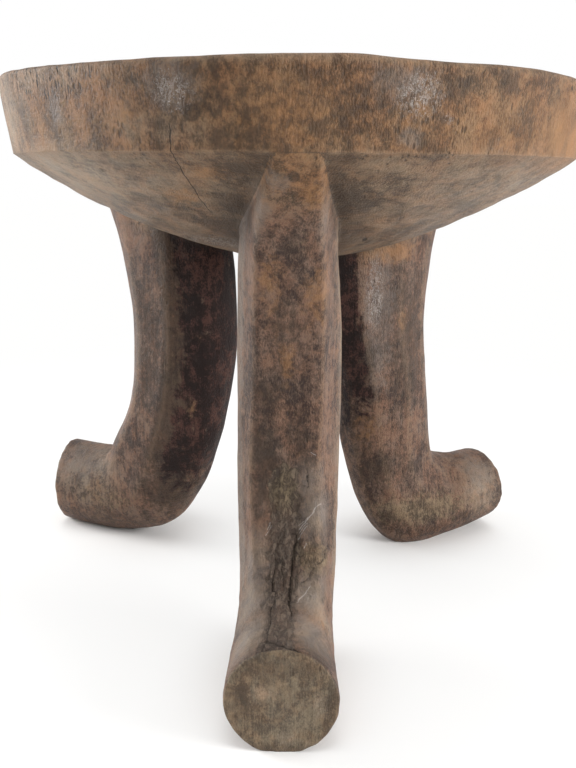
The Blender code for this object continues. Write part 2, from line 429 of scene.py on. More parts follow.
# %% [markdown]
# ## Running the legs into the bowl
#
# There is no joint on the real stool: the leg flares a little and its wood becomes the bowl's. Two
# separate skins can look like one if both are pulled onto the same filleted surface where they meet.
# Each skin's distance field comes from a search tree. A smooth minimum of the two distances is the
# filleted surface, and a few Newton steps move points onto it. Past the middle of the fillet each skin
# dips a few hundredths of a millimetre under the other one.

# %% Fillets between seat and legs
# How far a fillet reaches on a leg's right and left side, seen from outside the stool, in metres.
FILLET = {
    "front_leg": (0.0022, 0.0035), "rear_right_leg": (0.004, 0.0022), "rear_left_leg": (0.003, 0.004),
}
LAP, FAR_AWAY = 0.0025, 1.0
DIP_SHARE, DEEPEST_DIP = 0.04, 0.0001
HEAD_FROM, HEAD_HALF, HEAD_LOWEST = 0.02, 0.05, 0.16  # where a leg's head and the bowl can meet
NEWTON_STEPS, LONGEST_STEP, CLOSE_ENOUGH = 5, 0.004, 1e-5


def skin_distance(tree, point):
    """Signed distance to a skin, negative inside, and the direction in which it grows."""
    near, normal, _, gap = tree.find_nearest(point)
    away = point - near
    if gap < 1e-6:
        return 0.0, normal
    sign = 1 if away.dot(normal) > 0 else -1
    return sign * gap, away * (sign / gap)


def onto_fillet(point, seat_tree, leg_tree, reach):
    """The point moved onto the surface that fillets seat and leg together."""
    for _ in range(NEWTON_STEPS):
        to_seat, seat_out = skin_distance(seat_tree, point)
        to_leg, leg_out = skin_distance(leg_tree, point)
        wide = reach * min(1.2, max(0.02, 1 - seat_out.dot(leg_out)))
        overlap = max(wide - abs(to_seat - to_leg), 0) / wide
        depth = min(to_seat, to_leg) - overlap**2 * wide / 4
        leg_share = min(1, max(0, 0.5 + (to_seat - to_leg) / (2 * wide)))
        slope = leg_out * leg_share + seat_out * (1 - leg_share)
        step = slope * (depth / max(slope.length_squared, 0.2))
        if step.length > LONGEST_STEP:
            step.length = LONGEST_STEP
        point = point - step
        if step.length < CLOSE_ENOUGH:
            break
    return point


def filleted(spots, normals, other_tree, seat_tree, leg_tree, leg, reaches):
    """Spots moved onto the fillet, and each one's distance to the other skin."""
    spots, gaps = spots.copy(), np.full(len(spots), FAR_AWAY)
    outward, sideways, _ = directions(leg)
    right, left = reaches
    widest = max(reaches) * 1.2
    moved = 0
    for i, spot in enumerate(spots):
        along = spot @ outward
        if along < HEAD_FROM or abs(spot @ sideways) > HEAD_HALF or spot[2] < HEAD_LOWEST:
            continue
        gap, _ = skin_distance(other_tree, Vector(spot))
        gaps[i] = gap
        if -LAP < gap < widest:
            side = min(1, max(0, 0.5 + spot @ sideways / 0.03))
            reach = left + (right - left) * side
            point = onto_fillet(Vector(spot), seat_tree, leg_tree, reach)
            spots[i] = point
            if gap < 0:
                spots[i] -= normals[i] * min(DIP_SHARE * -gap, DEEPEST_DIP)
            moved += 1
    return spots, gaps, moved


seat_tree = BVHTree.FromBMesh(seat_blank)
seat_spots = spots_of(seat_blank)
seat_normals = normals_of(seat_blank)
seat_gap = np.full(len(seat_spots), FAR_AWAY)
leg_gap = {}
for name, (blank, _) in leg_blanks.items():
    leg_tree = BVHTree.FromBMesh(blank)
    spots, gaps, moved = filleted(
        spots_of(blank), normals_of(blank), seat_tree, seat_tree, leg_tree, LEGS[name], FILLET[name]
    )
    leg_gap[name] = gaps
    seat_spots, gaps, seat_moved = filleted(
        seat_spots, seat_normals, leg_tree, seat_tree, leg_tree, LEGS[name], FILLET[name]
    )
    seat_gap = np.minimum(seat_gap, gaps)
    lay(blank, spots)
    print(name, "fillet moved", moved, "points of the leg and", seat_moved, "of the seat")
lay(seat_blank, seat_spots)

# %% [markdown]
# ## Tool marks
#
# An adze leaves shallow hollows with low ridges between them, longer along the stroke than across it. A
# Voronoi pattern gives one cell to each stroke, and the squared distance from the cell's middle is its
# hollow. On the bowl the strokes run round the seat, and on the legs and the band they run upright.
# Longer waves make the outline a little uneven, as hand work is. Near a leg's head the strokes fade,
# because the two skins must agree there.

# %% Adze strokes and uneven work
CLEAR_OF_JOINT = (0.001, 0.014)  # strokes begin and are full this far from where two skins meet
# Strokes per radian round the seat, a stroke's size the other way in metres, its depth in millimetres.
BOWL_STROKE, BAND_STROKE, DISH_STROKE = (6.2, 0.0095, 0.75), (9.5, 0.027, 0.32), (5.0, 0.016, 0.30)
# The rim's rise in millimetres, from its left end round by the front, the right end and the back.
RIM_RISE = (1.8, 2.0, 1.1, -0.5, 0.9, -0.3, 0.2, -0.6, 0.2, 0.4, -0.4, -0.6, -0.2, 0.3, 0.6, 1.2, 1.8)


def strokes(places):
    """Height of adze hollows at places in stroke lengths, from -1 in a hollow to about 0 on a ridge."""
    heights = np.empty(len(places))
    for i, place in enumerate(places):
        near, next_near = noise.voronoi(place)[0][:2]
        heights[i] = near * near * 1.6 - 1 if next_near > near else 0
    return np.clip(heights, -1, 0.2)


def waves(spots, size, seed):
    """Smooth unevenness of a size in metres, from about -1 to 1."""
    shift = Vector((seed, 2.3 * seed, 0.7 * seed))
    return np.array([noise.noise(Vector(spot) / size + shift) for spot in spots])


def uneven(spots):
    """The hand's long and short unevenness in metres, the same for the seat and the legs."""
    return waves(spots, 0.045, 4) * 0.7 * MM + waves(spots, 0.012, 9) * 0.16 * MM


def seat_zones(spots):
    """How far each point of the seat belongs to its band, its bowl and its dish."""
    radius = np.hypot(spots[:, 0], spots[:, 1])
    band_line = ARRIS_RADIUS - 0.0016
    under = ramp(spots[:, 2], ARRIS_HEIGHT + 0.0004, ARRIS_HEIGHT - 0.0004)
    top = ramp(radius, SEAT_RADIUS - 0.0015, SEAT_RADIUS - 0.0035) * ramp(
        spots[:, 2] - bowl_height(np.minimum(radius, ARRIS_RADIUS)), 0.004, 0.008
    )
    band = (1 - top) * (1 - under) * (radius > band_line)
    return band, under * (1 - top), top


seat_normals = normals_of(seat_blank)
radius = np.hypot(seat_spots[:, 0], seat_spots[:, 1])
azimuth = np.arctan2(seat_spots[:, 1], seat_spots[:, 0])
around = np.stack([np.cos(azimuth), np.sin(azimuth)])
band, under, top = seat_zones(seat_spots)
slant = np.hypot(radius, seat_spots[:, 2] * 0.5)


def seat_strokes(stroke, way):
    """Adze hollows over the seat, in rows round it."""
    return strokes(np.stack([*(around * stroke[0]), way / stroke[1]], axis=1))


bowl_strokes = seat_strokes(BOWL_STROKE, slant)
bowl_ridges = ramp(bowl_strokes, -0.55, 0.0) * ramp(radius, 0.05, 0.10) * ramp(seat_gap, 0.004, 0.02)
clear = ramp(seat_gap, *CLEAR_OF_JOINT)
lift = (
    under * bowl_strokes * BOWL_STROKE[2] * MM
    + band * seat_strokes(BAND_STROKE, seat_spots[:, 2]) * BAND_STROKE[2] * MM
    + top * seat_strokes(DISH_STROKE, radius) * DISH_STROKE[2] * MM * ramp(radius, 0.03, 0.10)
) * clear
lift += uneven(seat_spots)
seat_spots = seat_spots + seat_normals * lift[:, None]
turns = (np.degrees(azimuth) + 180) / 360
rise = eased(RIM_RISE, turns * (len(RIM_RISE) - 1)) * ramp(radius, 0.09, 0.14)
seat_spots[:, 2] += rise * MM * ramp(seat_spots[:, 2], ARRIS_HEIGHT + 0.004, STOOL_HEIGHT)
lay(seat_blank, seat_spots)
print("seat strokes from", round(1000 * lift.min(), 2), "to", round(1000 * lift.max(), 2), "mm")

# %% Strokes down the legs
for name, (blank, known) in leg_blanks.items():
    spots, normals = spots_of(blank), normals_of(blank)
    along, depth, girth = known["along"], known["depth"], np.radians(known["angle"])
    skin = (depth > 0.99).astype(float)
    down = along * 13 + LEGS[name]["azimuth"]  # in stroke lengths, with other strokes on each leg
    cells = np.stack([np.cos(girth) * 3.4, np.sin(girth) * 2.6, down], axis=1)
    clear = ramp(leg_gap[name], *CLEAR_OF_JOINT)
    lift = strokes(cells) * 0.5 * MM * clear * skin * (1 - 0.6 * ramp(along, 0.8, 0.95))
    lift += uneven(spots)
    lift += waves(spots * np.array((1, 1, 0.12)), 0.0035, 3) * 0.14 * MM * clear * skin
    sawn_edge = ramp(along, 0.985, 1.0) * ramp(depth, 0.85, 0.95)
    lift += (waves(spots, 0.005, 31) - 0.5) * 0.5 * MM * sawn_edge
    spots = spots + normals * lift[:, None]
    spots[:, 2] = np.maximum(spots[:, 2], 0)  # the floor has worn the sole flat
    lay(blank, spots)
    print(name, "sole points", int((spots[:, 2] < 1e-6).sum()))

# %% [markdown]
# ## The split and the bare wood on the front leg
#
# Half way down the front leg the skin has flaked away round a long upright split that ends at the toe.
# The mesh is fine enough there to cut the grooves and raise the bark-like plates between them. Each
# groove is a broken line of a few points, and its depth falls off with distance from the line. The
# distance is also written on the points, positive on one side of a line and negative on the other, and
# the material draws the dark crack where it crosses zero.

# %% Grooves of the split
# Each line's width in millimetres, and its points: millimetres across the leg's front and down it.
SPLIT_LINES = {
    "left side of the split": (
        0.34, ((-5.2, 31.5), (-5.7, 39.0), (-6.5, 49.2), (-6.6, 55.7), (-4.9, 56.4)),
    ),
    "left side, lower down": (0.28, ((-4.9, 56.4), (-6.4, 66.3), (-7.0, 74.5), (-8.3, 84.6), (-9.0, 92.0))),
    "right side of the split": (
        0.58, ((4.5, 32.0), (2.6, 37.0), (2.0, 43.7), (2.1, 51.2), (1.6, 56.8), (0.9, 63.8)),
    ),
    "right side, top": (0.30, ((2.2, 27.6), (4.2, 27.8), (4.6, 31.5))),
    "right side, foot": (0.34, ((0.9, 63.8), (2.6, 70.5))),
    "plate's edge": (0.22, ((-2.0, 38.5), (-2.6, 46.3), (-1.2, 53.0))),
    "break above the toe": (
        0.55, ((-8.6, 86.3), (-5.1, 86.5), (-2.0, 87.7), (1.0, 89.0), (4.5, 90.2), (7.5, 92.9)),
    ),
    "foot of the break": (0.45, ((-9.3, 92.0), (-6.3, 93.1), (-2.0, 92.6), (1.5, 93.4))),
    "rough patch, right": (0.26, ((9.3, -1.1), (9.0, 6.0))),
    "broken skin on the right": (0.20, ((20.0, 30.3), (18.0, 33.8), (18.4, 37.0), (15.1, 41.9))),
    "broken skin, lower": (0.20, ((13.0, 44.5), (11.2, 47.8), (7.4, 50.8))),
}
FLAKED = ((-1.6, 4), (-0.8, 18), (-1.2, 40), (-2.6, 58), (-3.0, 75), (-3.5, 90))
FRONT_FACE = 75  # degrees from the middle of the leg's front
GROOVE_DEPTH, PLATE_RELIEF = 0.7, 0.8  # in millimetres


def unrolled(spots):
    """Places across the leg's front and down it, in metres, pulled about a little so that lines waver."""
    across = spots[:, 0] + waves(spots, 0.007, 21) * 1.1 * MM + waves(spots, 0.0026, 12) * 0.4 * MM
    down = (-spots[:, 1] - spots[:, 2]) / 1.25 + waves(spots, 0.005, 33) * 0.8 * MM
    return np.stack([across, down], axis=1)


def line_distance(places, points):
    """Each place's distance to a broken line with points in millimetres, and its side of the line."""
    nearest, side = np.full(len(places), FAR_AWAY), np.ones(len(places))
    corners = np.array(points) * MM
    for start, run in zip(corners, np.diff(corners, axis=0)):
        share = np.clip((places - start) @ run / (run @ run), 0, 1)
        off = places - start - share[:, None] * run
        away = np.linalg.norm(off, axis=1)
        side = np.where(away < nearest, np.sign(run[0] * off[:, 1] - run[1] * off[:, 0]), side)
        nearest = np.minimum(nearest, away)
    return nearest, side


front_blank, front_known = leg_blanks["front_leg"]
front_spots, front_normals = spots_of(front_blank), normals_of(front_blank)
front_face = (np.abs(front_known["angle"]) < FRONT_FACE) * (front_known["toe"] < 0.5)
front_places = unrolled(front_spots)
split_gap = np.full(len(front_spots), FAR_AWAY)
split_side, split_width = split_gap.copy(), np.zeros(len(front_spots))
for width, points in SPLIT_LINES.values():
    away, side = line_distance(front_places, points)
    closer = away < split_gap
    split_side = np.where(closer, away * side, split_side)
    split_width = np.where(closer, width * MM, split_width)
    split_gap = np.minimum(split_gap, away)
groove = ramp(split_gap, 1.5 * MM, 0.2 * MM) * np.minimum(1, split_width / MM * 1.4) * front_face
ragged = waves(front_spots, 0.004, 17)
flaked = ramp(line_distance(front_places, FLAKED)[0] + ragged * 2.5 * MM, 0.0090, 0.0055) * front_face
bark = np.stack([front_spots[:, 0] / 0.005, front_spots[:, 1] / 0.013, front_spots[:, 2] / 0.013], axis=1)
lift = (-GROOVE_DEPTH * groove + flaked * (0.1 + strokes(bark) * PLATE_RELIEF)) * MM
front_spots = front_spots + front_normals * lift[:, None]
front_spots[:, 2] = np.maximum(front_spots[:, 2], 0)
lay(front_blank, front_spots)
front_known["groove"] = groove
front_known["flaked"] = flaked
front_known["across"], front_known["down"] = np.where(front_face[:, None], front_places, -1).T
front_known["split_side"], front_known["split_width"] = split_side, split_width
front_known["split_near"] = ramp(split_gap, 1.1 * MM, 0.5 * MM) * front_face
print("split cut over", int((groove > 0.1).sum()), "points, flaked", int((flaked > 0.5).sum()))

# %% [markdown]
# ## Marks of age, painted shade and painted sheen
#
# Stains, bare patches and polish have their places on this stool, and so have painted shade, painted
# sheen and painted glints, so each is a named mark: its kind, its place in millimetres from the seat's
# axis, how far it reaches sideways and up, and how strong it is. They are written on the points as soft
# masks, and the wood's material breaks up their edges. The material also strews more of the same kinds
# over the sides that the camera doesn't see.

# %% Named marks
MARKS = (
    # Painted sheen pales the left end of the rim.
    ("painted sheen on the left end", "faded_and_sheen", (-136, -66, 276), 30, 26, 0.75),
    ("faded top edge on the left", "faded_and_sheen", (-100, -116, 290), 30, 6, 0.5),
    ("faded top edge in the middle", "faded_and_sheen", (0, -155, 292), 60, 2, 0.4),
    ("grey patch near the left end", "grey_and_sheen", (-99, -117, 275), 5, 9, 0.8),
    ("ginger patch near the left end", "warm", (-107, -108, 268), 9, 11, 0.6),
    ("ginger patch left of the smoke", "warm", (-68, -139, 273), 12, 10, 0.5),
    # A smoky grey patch with painted sheen on it, and painted glints on that patch.
    ("smoky patch with painted sheen, left of the knot", "grey_and_sheen", (-45, -147, 282), 13, 10, 0.85),
    ("painted glints left of the knot", "glint", (-45, -147, 280), 9, 8, 0.9),
    ("knot", "knot", (-37.5, -148.5, 272), 3.8, 3.4, 1.0),
    ("pale patch below the knot", "faded_and_sheen", (-44, -147, 265), 12, 5, 0.35),
    ("worn patch left of the knot", "faded_and_sheen", (-58, -142, 268), 12, 7, 0.35),
    ("stain below the knot", "dark", (-26, -149, 262), 7, 7, 0.75),
    ("stain right of the knot", "dark", (-27, -151, 276), 8, 10, 0.65),
    ("stain high right of the knot", "dark", (-30, -151, 286), 9, 5, 0.5),
    ("stain above the leg, left", "dark", (-13, -151, 263), 7, 6, 0.75),
    ("stain in the middle, left", "dark", (-15, -152, 272), 7, 6, 0.65),
    ("ginger patch above the leg", "warm", (-1, -153, 272), 24, 14, 0.7),
    # Painted shade on the middle of the band and on the bowl below it.
    ("painted shade on the middle of the band", "dark", (4, -153, 274), 62, 22, 0.52),
    ("painted shade on the bowl", "dark", (0, -100, 232), 70, 26, 0.25),
    ("stain high above the leg", "dark", (6, -154, 286), 9, 5, 0.7),
    ("stain right above the leg", "dark", (10, -152, 267), 6, 5, 0.75),
    ("stain by the leg, right", "dark", (20, -151, 272), 5, 6, 0.7),
    ("stain at the leg's head", "dark", (-2, -151, 259), 9, 4, 0.6),
    # A smoky grey patch with painted sheen on it, and painted glints beside it.
    ("smoky patch with painted sheen on the right", "grey_and_sheen", (42, -148, 283), 16, 9, 0.8),
    ("stain on the right", "dark", (36, -150, 286), 12, 5, 0.5),
    ("painted glints on the right", "glint", (49, -146, 279), 10, 9, 1.0),
    ("second smoky patch with painted sheen on the right", "dark", (66, -140, 283), 9, 7, 0.6),
    ("round stain on the right", "dark", (87, -127, 286), 9, 7, 0.8),
    ("stain near the right end", "dark", (96, -118, 270), 11, 10, 0.6),
    ("second stain near the right end", "dark", (80, -131, 263), 8, 5, 0.5),
    ("bright end on the right", "russet", (120, -94, 268), 16, 15, 0.8),
    ("orange corner on the right", "russet", (134, -76, 264), 20, 14, 1.0),
    ("russet band on the right", "russet", (90, -124, 268), 30, 12, 0.35),
    ("russet middle of the band", "russet", (0, -153, 272), 40, 16, 0.15),
    ("ginger band on the right", "warm", (50, -145, 268), 26, 8, 0.5),
    # A small painted glint, in a real stain.
    ("small painted glint on the right", "glint", (61, -140, 271), 3, 3, 0.7),
    ("stain round the small glint", "dark", (60, -140, 270), 6, 4, 0.6),
    ("grey patch low on the right", "grey_and_sheen", (46, -145, 264), 5, 4, 0.9),
    ("tan patch under the rim", "warm", (-34, -133, 250), 12, 6, 0.6),
    ("ginger patch on the bowl", "warm", (-48, -112, 240), 14, 5, 0.7),
    # Painted sheen pales the bowl on the left and the right.
    ("painted sheen on the bowl, left", "faded_and_sheen", (-100, -92, 250), 42, 12, 0.75),
    ("painted sheen on the bowl, right", "faded_and_sheen", (100, -88, 248), 42, 12, 0.32),
    # Painted glints along the low outline of the bowl.
    ("painted glints low on the bowl", "glint", (-42, -54, 216), 26, 6, 0.9),
    ("stain on the bowl", "dark", (-59, -92, 234), 12, 6, 0.6),
    ("second stain on the bowl", "dark", (-30, -108, 238), 10, 8, 0.5),
    # Painted shade in the crease round the front leg's head, under the rim and on the bowl.
    ("painted shade under the rim, left of the leg", "dark", (-22, -137, 252), 14, 6, 0.7),
    ("painted shade beside the leg, left", "dark", (-24, -114, 238), 11, 18, 1.0),
    ("painted shade behind the leg, left", "dark", (-34, -88, 228), 16, 14, 0.75),
    ("painted shade beside the leg, right", "dark", (24, -122, 242), 8, 18, 0.85),
    ("stain on the bowl, right", "dark", (38, -135, 251), 13, 8, 0.6),
    ("second stain on the bowl, right", "dark", (30, -112, 238), 12, 8, 0.65),
    ("round stain at the leg's head", "knot", (1.5, -143, 249), 2.4, 2.4, 1.0),
    ("ginger side of the leg's head", "warm", (10, -137, 244), 7, 13, 0.7),
    # Painted sheen on the edge and corner of the front leg's head.
    ("painted sheen on the edge of the leg's head", "grey_and_sheen", (-12, -130, 240), 6, 16, 0.6),
    ("painted sheen on the corner of the leg's head", "grey_and_sheen", (-5, -141, 247), 6, 6, 0.8),
    ("stain on the front leg, high", "dark", (4, -120, 222), 10, 10, 0.5),
    ("ginger patch, high left", "warm", (-9, -116, 208), 6, 17, 0.6),
    ("ginger patch, high right", "warm", (12, -113, 202), 7, 18, 0.7),
    ("stain on the front leg, middle", "dark", (-2, -111, 186), 12, 14, 0.6),
    ("ginger streak, middle", "warm", (-1, -109, 166), 5, 12, 0.6),
    ("dark patch, middle left", "dark", (-9, -107, 150), 9, 15, 0.65),
    ("dark patch, lower left", "dark", (-11, -110, 120), 9, 20, 0.75),
    ("dark patch above the split", "dark", (-12, -113, 100), 7, 20, 0.75),
    ("dark patch, lower right", "dark", (5, -110, 130), 10, 13, 0.6),
    ("dark foot of the split", "dark", (-4, -155, 54), 7, 12, 0.2),
    ("bare wood above the split", "bare", (-2, -113, 104), 7, 12, 1.0),
    ("bare wood on the right", "bare", (13, -119, 71), 8, 9, 1.0),
    ("polish left of the split", "film_and_sheen", (-14, -118, 64), 7, 17, 0.9),
    ("polish low on the left", "film_and_sheen", (-18, -128, 52), 11, 16, 1.05),
    ("polish on the instep, left", "film_and_sheen", (-17, -150, 50), 11, 14, 1.2),
    ("polish high on the right", "film_and_sheen", (10, -112, 106), 6, 12, 0.7),
    ("polish right of the split", "film_and_sheen", (13, -114, 92), 7, 12, 1.0),
    ("broken skin on the right", "dark", (12, -116, 76), 8, 6, 0.7),
    ("polish low on the right", "film_and_sheen", (12, -130, 58), 9, 10, 1.1),
    ("polish on the instep, right", "film_and_sheen", (12, -150, 52), 11, 14, 0.95),
    # Painted sheen on the two edges of the front leg's head.
    ("painted sheen on the head's left edge", "film_and_sheen", (-14, -127, 236), 4, 15, 0.28),
    ("painted sheen on the head's right edge", "film_and_sheen", (15, -126, 232), 3, 12, 0.3),
    ("tan instep, right", "faded_and_sheen", (19, -134, 52), 5, 18, 0.6),
    ("ginger instep, right", "warm", (14, -136, 50), 7, 14, 0.55),
    ("sawn end, pale spot left", "faded_and_sheen", (-10, -167, 29.5), 5, 4, 0.75),
    ("sawn end, pale middle", "faded_and_sheen", (-1, -167, 18), 8, 10, 0.18),
    ("sawn end, pale spot right", "faded_and_sheen", (16, -167, 25), 2.5, 5, 0.80),
    ("sawn end, pale spot low", "faded_and_sheen", (1, -167, 6), 4, 5, 0.60),
    ("sawn end, dark spot", "dark", (-9, -167, 39), 4, 6, 0.8),
    ("sawn end, dark left edge", "dark", (-20, -167, 26), 6, 14, 0.8),
    ("sawn end, dark top", "dark", (0, -167, 44), 20, 8, 0.85),
    ("sawn end, dark right edge", "dark", (21, -167, 27), 4, 9, 0.8),
    ("sawn end, dark foot", "dark", (-1, -167, 2), 22, 5, 0.65),
    ("ginger patch, rear left", "warm", (-62, 6, 106), 6, 11, 0.85),
    ("small ginger patch, rear left", "warm", (-56, 6, 150), 5, 8, 0.45),
    ("pale flecks, rear left", "bare", (-70, 4, 131), 14, 21, 0.4),
    ("grey toe, rear left", "grey_and_sheen", (-149, 56, 51), 19, 11, 0.8),
    ("faded toe, rear left", "faded_and_sheen", (-140, 50, 44), 24, 18, 0.55),
    # Painted shade on the rear left leg's outer face and low on its foot.
    ("painted shade on the outer face, rear left", "dark", (-92, 18, 145), 24, 60, 0.66),
    ("sooty heel, rear left", "dark", (-78, 20, 44), 26, 24, 0.85),
    ("sooty shin, rear left", "dark", (-60, 20, 68), 12, 26, 0.9),
    ("painted shade low on the foot, rear left", "dark", (-120, 45, 10), 45, 14, 0.6),
    ("mottled foot, rear left", "bare", (-129, 37, 31), 27, 16, 0.5),
    ("ginger head, rear right", "warm", (62, 19, 204), 20, 6, 0.9),
    # A polished strip with painted sheen on it, and painted glints on its chips.
    ("polished strip with painted sheen, rear right", "grey_and_sheen", (55, 13, 162), 11, 46, 1.0),
    ("dark polish, rear right", "dark", (58, 12, 150), 10, 50, 0.5),
    ("painted glints on the polished strip's chips", "glint", (51, 12, 180), 6, 22, 1.2),
    ("ginger chip, rear right", "warm", (70, 21, 161), 4, 7, 0.9),
    ("ginger patch, rear right", "warm", (49, 20, 89), 9, 16, 0.6),
    ("ochre heel, rear right", "bare", (89, 30, 28), 40, 12, 0.85),
    # Painted shade on the rear right leg's outer face, by its soot and on its ankle.
    ("painted shade on the outer face, rear right", "dark", (76, 25, 150), 18, 60, 0.74),
    ("painted shade at the edge of the soot, rear right", "dark", (46, 12, 135), 8, 24, 0.9),
    ("painted shade on the ankle, rear right", "dark", (62, 24, 62), 24, 20, 0.6),
    ("grey toe, rear right", "grey_and_sheen", (133, 59, 45), 13, 15, 0.8),
    ("faded toe, rear right", "faded_and_sheen", (134, 56, 36), 14, 20, 0.6),
    ("sitter's polish", "dark", (0, 0, 262), 62, 30, 0.5),
    ("sitter's grey polish", "grey_and_sheen", (18, 20, 262), 50, 30, 0.5),
    ("faded lip behind", "faded_and_sheen", (20, 150, 292), 90, 4, 0.5),
    ("faded lip on the right", "faded_and_sheen", (152, 10, 292), 40, 4, 0.5),
    ("checks in the left end of the rim", "check", (-104, -112, 288), 30, 8, 1.0),
    ("checks in the right end of the rim", "check", (128, -86, 289), 16, 6, 0.7),
    ("checks behind", "check", (30, 151, 288), 26, 9, 0.9),
    ("pitted band on the right", "pit", (52, -143, 265), 28, 11, 0.9),
    ("pitted band in the middle", "pit", (-60, -140, 266), 36, 9, 0.7),
    ("pitted band behind", "pit", (-70, 136, 268), 40, 12, 0.8),
)
KINDS = ("dark", "warm", "russet", "grey_and_sheen", "faded_and_sheen", "film_and_sheen", "knot", "glint", "bare", "check", "pit")
LEAST_DEPTH = 6  # millimetres, so that a narrow mark still reaches the uneven skin


def mark_masks(spots):
    """For each kind of mark, a mask that is 1 in a mark's middle and 0 outside it."""
    masks = {kind: np.zeros(len(spots)) for kind in KINDS}
    for _, kind, place, wide, tall, strength in MARKS:
        away = (spots - np.array(place) * MM) / (np.array((wide, max(wide, LEAST_DEPTH), tall)) * MM)
        soft = strength * np.clip(1.25 - np.linalg.norm(away, axis=1) * 0.8, 0, 1)
        masks[kind] = np.maximum(masks[kind], soft)
    return masks


print(len(MARKS), "marks of", len(KINDS), "kinds")

# %% [markdown]
# ## Pieces
#
# A blank becomes a piece once its masks are written on its points as named attributes. The mesh moves
# from the seat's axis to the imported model's frame, so that the object itself stays at the origin. Each
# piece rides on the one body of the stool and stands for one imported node.

# %% Blanks become pieces


def piece(name, blank, masks, node):
    """A finished piece of the stool with its masks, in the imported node's place."""
    mesh = bpy.data.meshes.new(name)
    bmesh.ops.translate(blank, verts=blank.verts, vec=SEAT_AXIS)
    blank.to_mesh(mesh)
    blank.free()
    mesh.shade_smooth()
    for mask, values in masks.items():
        layer = mesh.attributes.new(mask, "FLOAT", "POINT")
        layer.data.foreach_set("value", np.asarray(values, np.float32))
    obj = bpy.data.objects.new(name, mesh)
    bpy.context.scene.collection.objects.link(obj)
    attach(obj, "root")
    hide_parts(node)
    triangles = sum(len(face.vertices) - 2 for face in mesh.polygons)
    print(name, "has", triangles, "triangles and masks", ", ".join(masks))
    return obj


spots = spots_of(seat_blank)
_, under, top = seat_zones(spots)
radius = np.hypot(spots[:, 0], spots[:, 1])
edge_gap = np.hypot(radius - ARRIS_RADIUS, spots[:, 2] - ARRIS_HEIGHT)
lip_gap = np.abs(np.hypot(radius - SEAT_RADIUS, spots[:, 2] - STOOL_HEIGHT))
worn_arris = ramp(edge_gap, 0.0014, 0.0002) * ramp(seat_gap, 0.0, 0.004)
worn_lip = 0.5 * ramp(lip_gap, 0.004, 0.001)
seat_masks = mark_masks(spots)
seat_masks.update({"under": under, "top": top})
seat_masks.update({label: np.zeros(len(spots)) for label in ("leg", "soot_and_shade", "toe", "groove", "flaked")})
# Painted shade in the crease where each leg runs into the bowl.
seat_masks["crease_shade"] = ramp(seat_gap, 0.020, 0.002) * under
seat_masks["worn"] = np.maximum.reduce([worn_arris, worn_lip, 0.9 * bowl_ridges * under])
pieces = [piece("carved_seat", seat_blank, seat_masks, "seat")]
FRONT_PLACES = ("across", "down", "split_side", "split_width", "split_near")
for name, (blank, known) in leg_blanks.items():
    spots, angle, along = spots_of(blank), known["angle"], known["along"]
    none = np.zeros(len(spots))
    leg_masks = mark_masks(spots)
    clear = ramp(leg_gap[name], 0.0, 0.016)
    face = ramp(np.abs(angle), 75, 50)  # the band's wood flows down the head's face
    below = ramp(spots[:, 2], 0.252, 0.226)
    # Soot and painted shade on the sides of the legs turned in under the seat.
    soot_and_shade_foot = LEGS[name]["soot_and_shade_foot"]
    soot_and_shade = ramp(np.abs(angle), *LEGS[name]["soot_and_shade"]) * ramp(along, soot_and_shade_foot, soot_and_shade_foot - 0.24)
    seen_through = np.clip(np.maximum(leg_masks["warm"], 0.6 * leg_masks["bare"]), 0, 1)
    leg_masks.update({
        "under": (1 - face) * (1 - clear) * (1 - soot_and_shade), "top": none,
        "leg": face * below + (1 - face) * np.maximum(clear, soot_and_shade),
        "soot_and_shade": soot_and_shade * (1 - 0.6 * seen_through),  # worn patches show through the soot and its painted shade
        "toe": known["toe"], "worn": known["arris"] * clear * 0.4 * (1 - soot_and_shade),
        # painted shade in the crease round the leg's head
        "crease_shade": ramp(leg_gap[name], 0.007, 0.0) * (1 - face),
        "groove": known.get("groove", none), "flaked": known.get("flaked", none),
    })
    if name == "rear_left_leg":  # darker wood beside the soot, partly smoky and partly painted shade
        smoky_and_shaded = ramp(angle, 80, 96) * ramp(angle, 150, 120) * ramp(along, 0.7, 0.5)
        leg_masks["dark"] = np.maximum(leg_masks["dark"], 0.85 * smoky_and_shaded)
    if name == "front_leg":  # painted sheen on its two edges, and the places of the split
        left = ramp(angle, -46, -60) * ramp(angle, -125, -100)
        right = ramp(angle, 54, 66) * ramp(angle, 125, 100)
        upper = ramp(along, 0.75, 0.6)
        # Painted sheen on the leg's two edges: pale on both, grey on the left.
        edge_sheen = (0.45 * right + 0.25 * left) * upper * clear
        leg_masks["grey_and_sheen"] = np.maximum(leg_masks["grey_and_sheen"], 0.8 * left * upper)
        leg_masks["faded_and_sheen"] = np.maximum(leg_masks["faded_and_sheen"], edge_sheen)
        leg_masks.update({label: known[label] for label in FRONT_PLACES})
    pieces.append(piece("carved_" + name, blank, leg_masks, name))

# %% [markdown]
# ## Wood
#
# The block's grain stands upright everywhere, so the grain lives in space and not on the surface: noise
# in object coordinates, stretched along Z, gives upright fibres on the band, the legs and the sawn toes,
# and end grain on the dish. The patina over it is mottled: dark stains, ginger and russet wood where it
# is worn through, grey polish with painted sheen on it, soot with painted shade in it on the inner sides
# of the legs, painted shade in the creases where the legs meet the bowl, and painted glints. Effects that
# both woods share are node groups with named inputs.

# %% Small helpers for nodes


def tree_of(*values):
    """The node tree of the first socket among some values."""
    return next(value.id_data for value in values if isinstance(value, bpy.types.NodeSocket))


def feed(socket, value):
    """Links a value's socket to a socket or sets a plain value."""
    if isinstance(value, bpy.types.NodeSocket):
        socket.id_data.links.new(value, socket)
    elif value is not None:
        socket.default_value = value


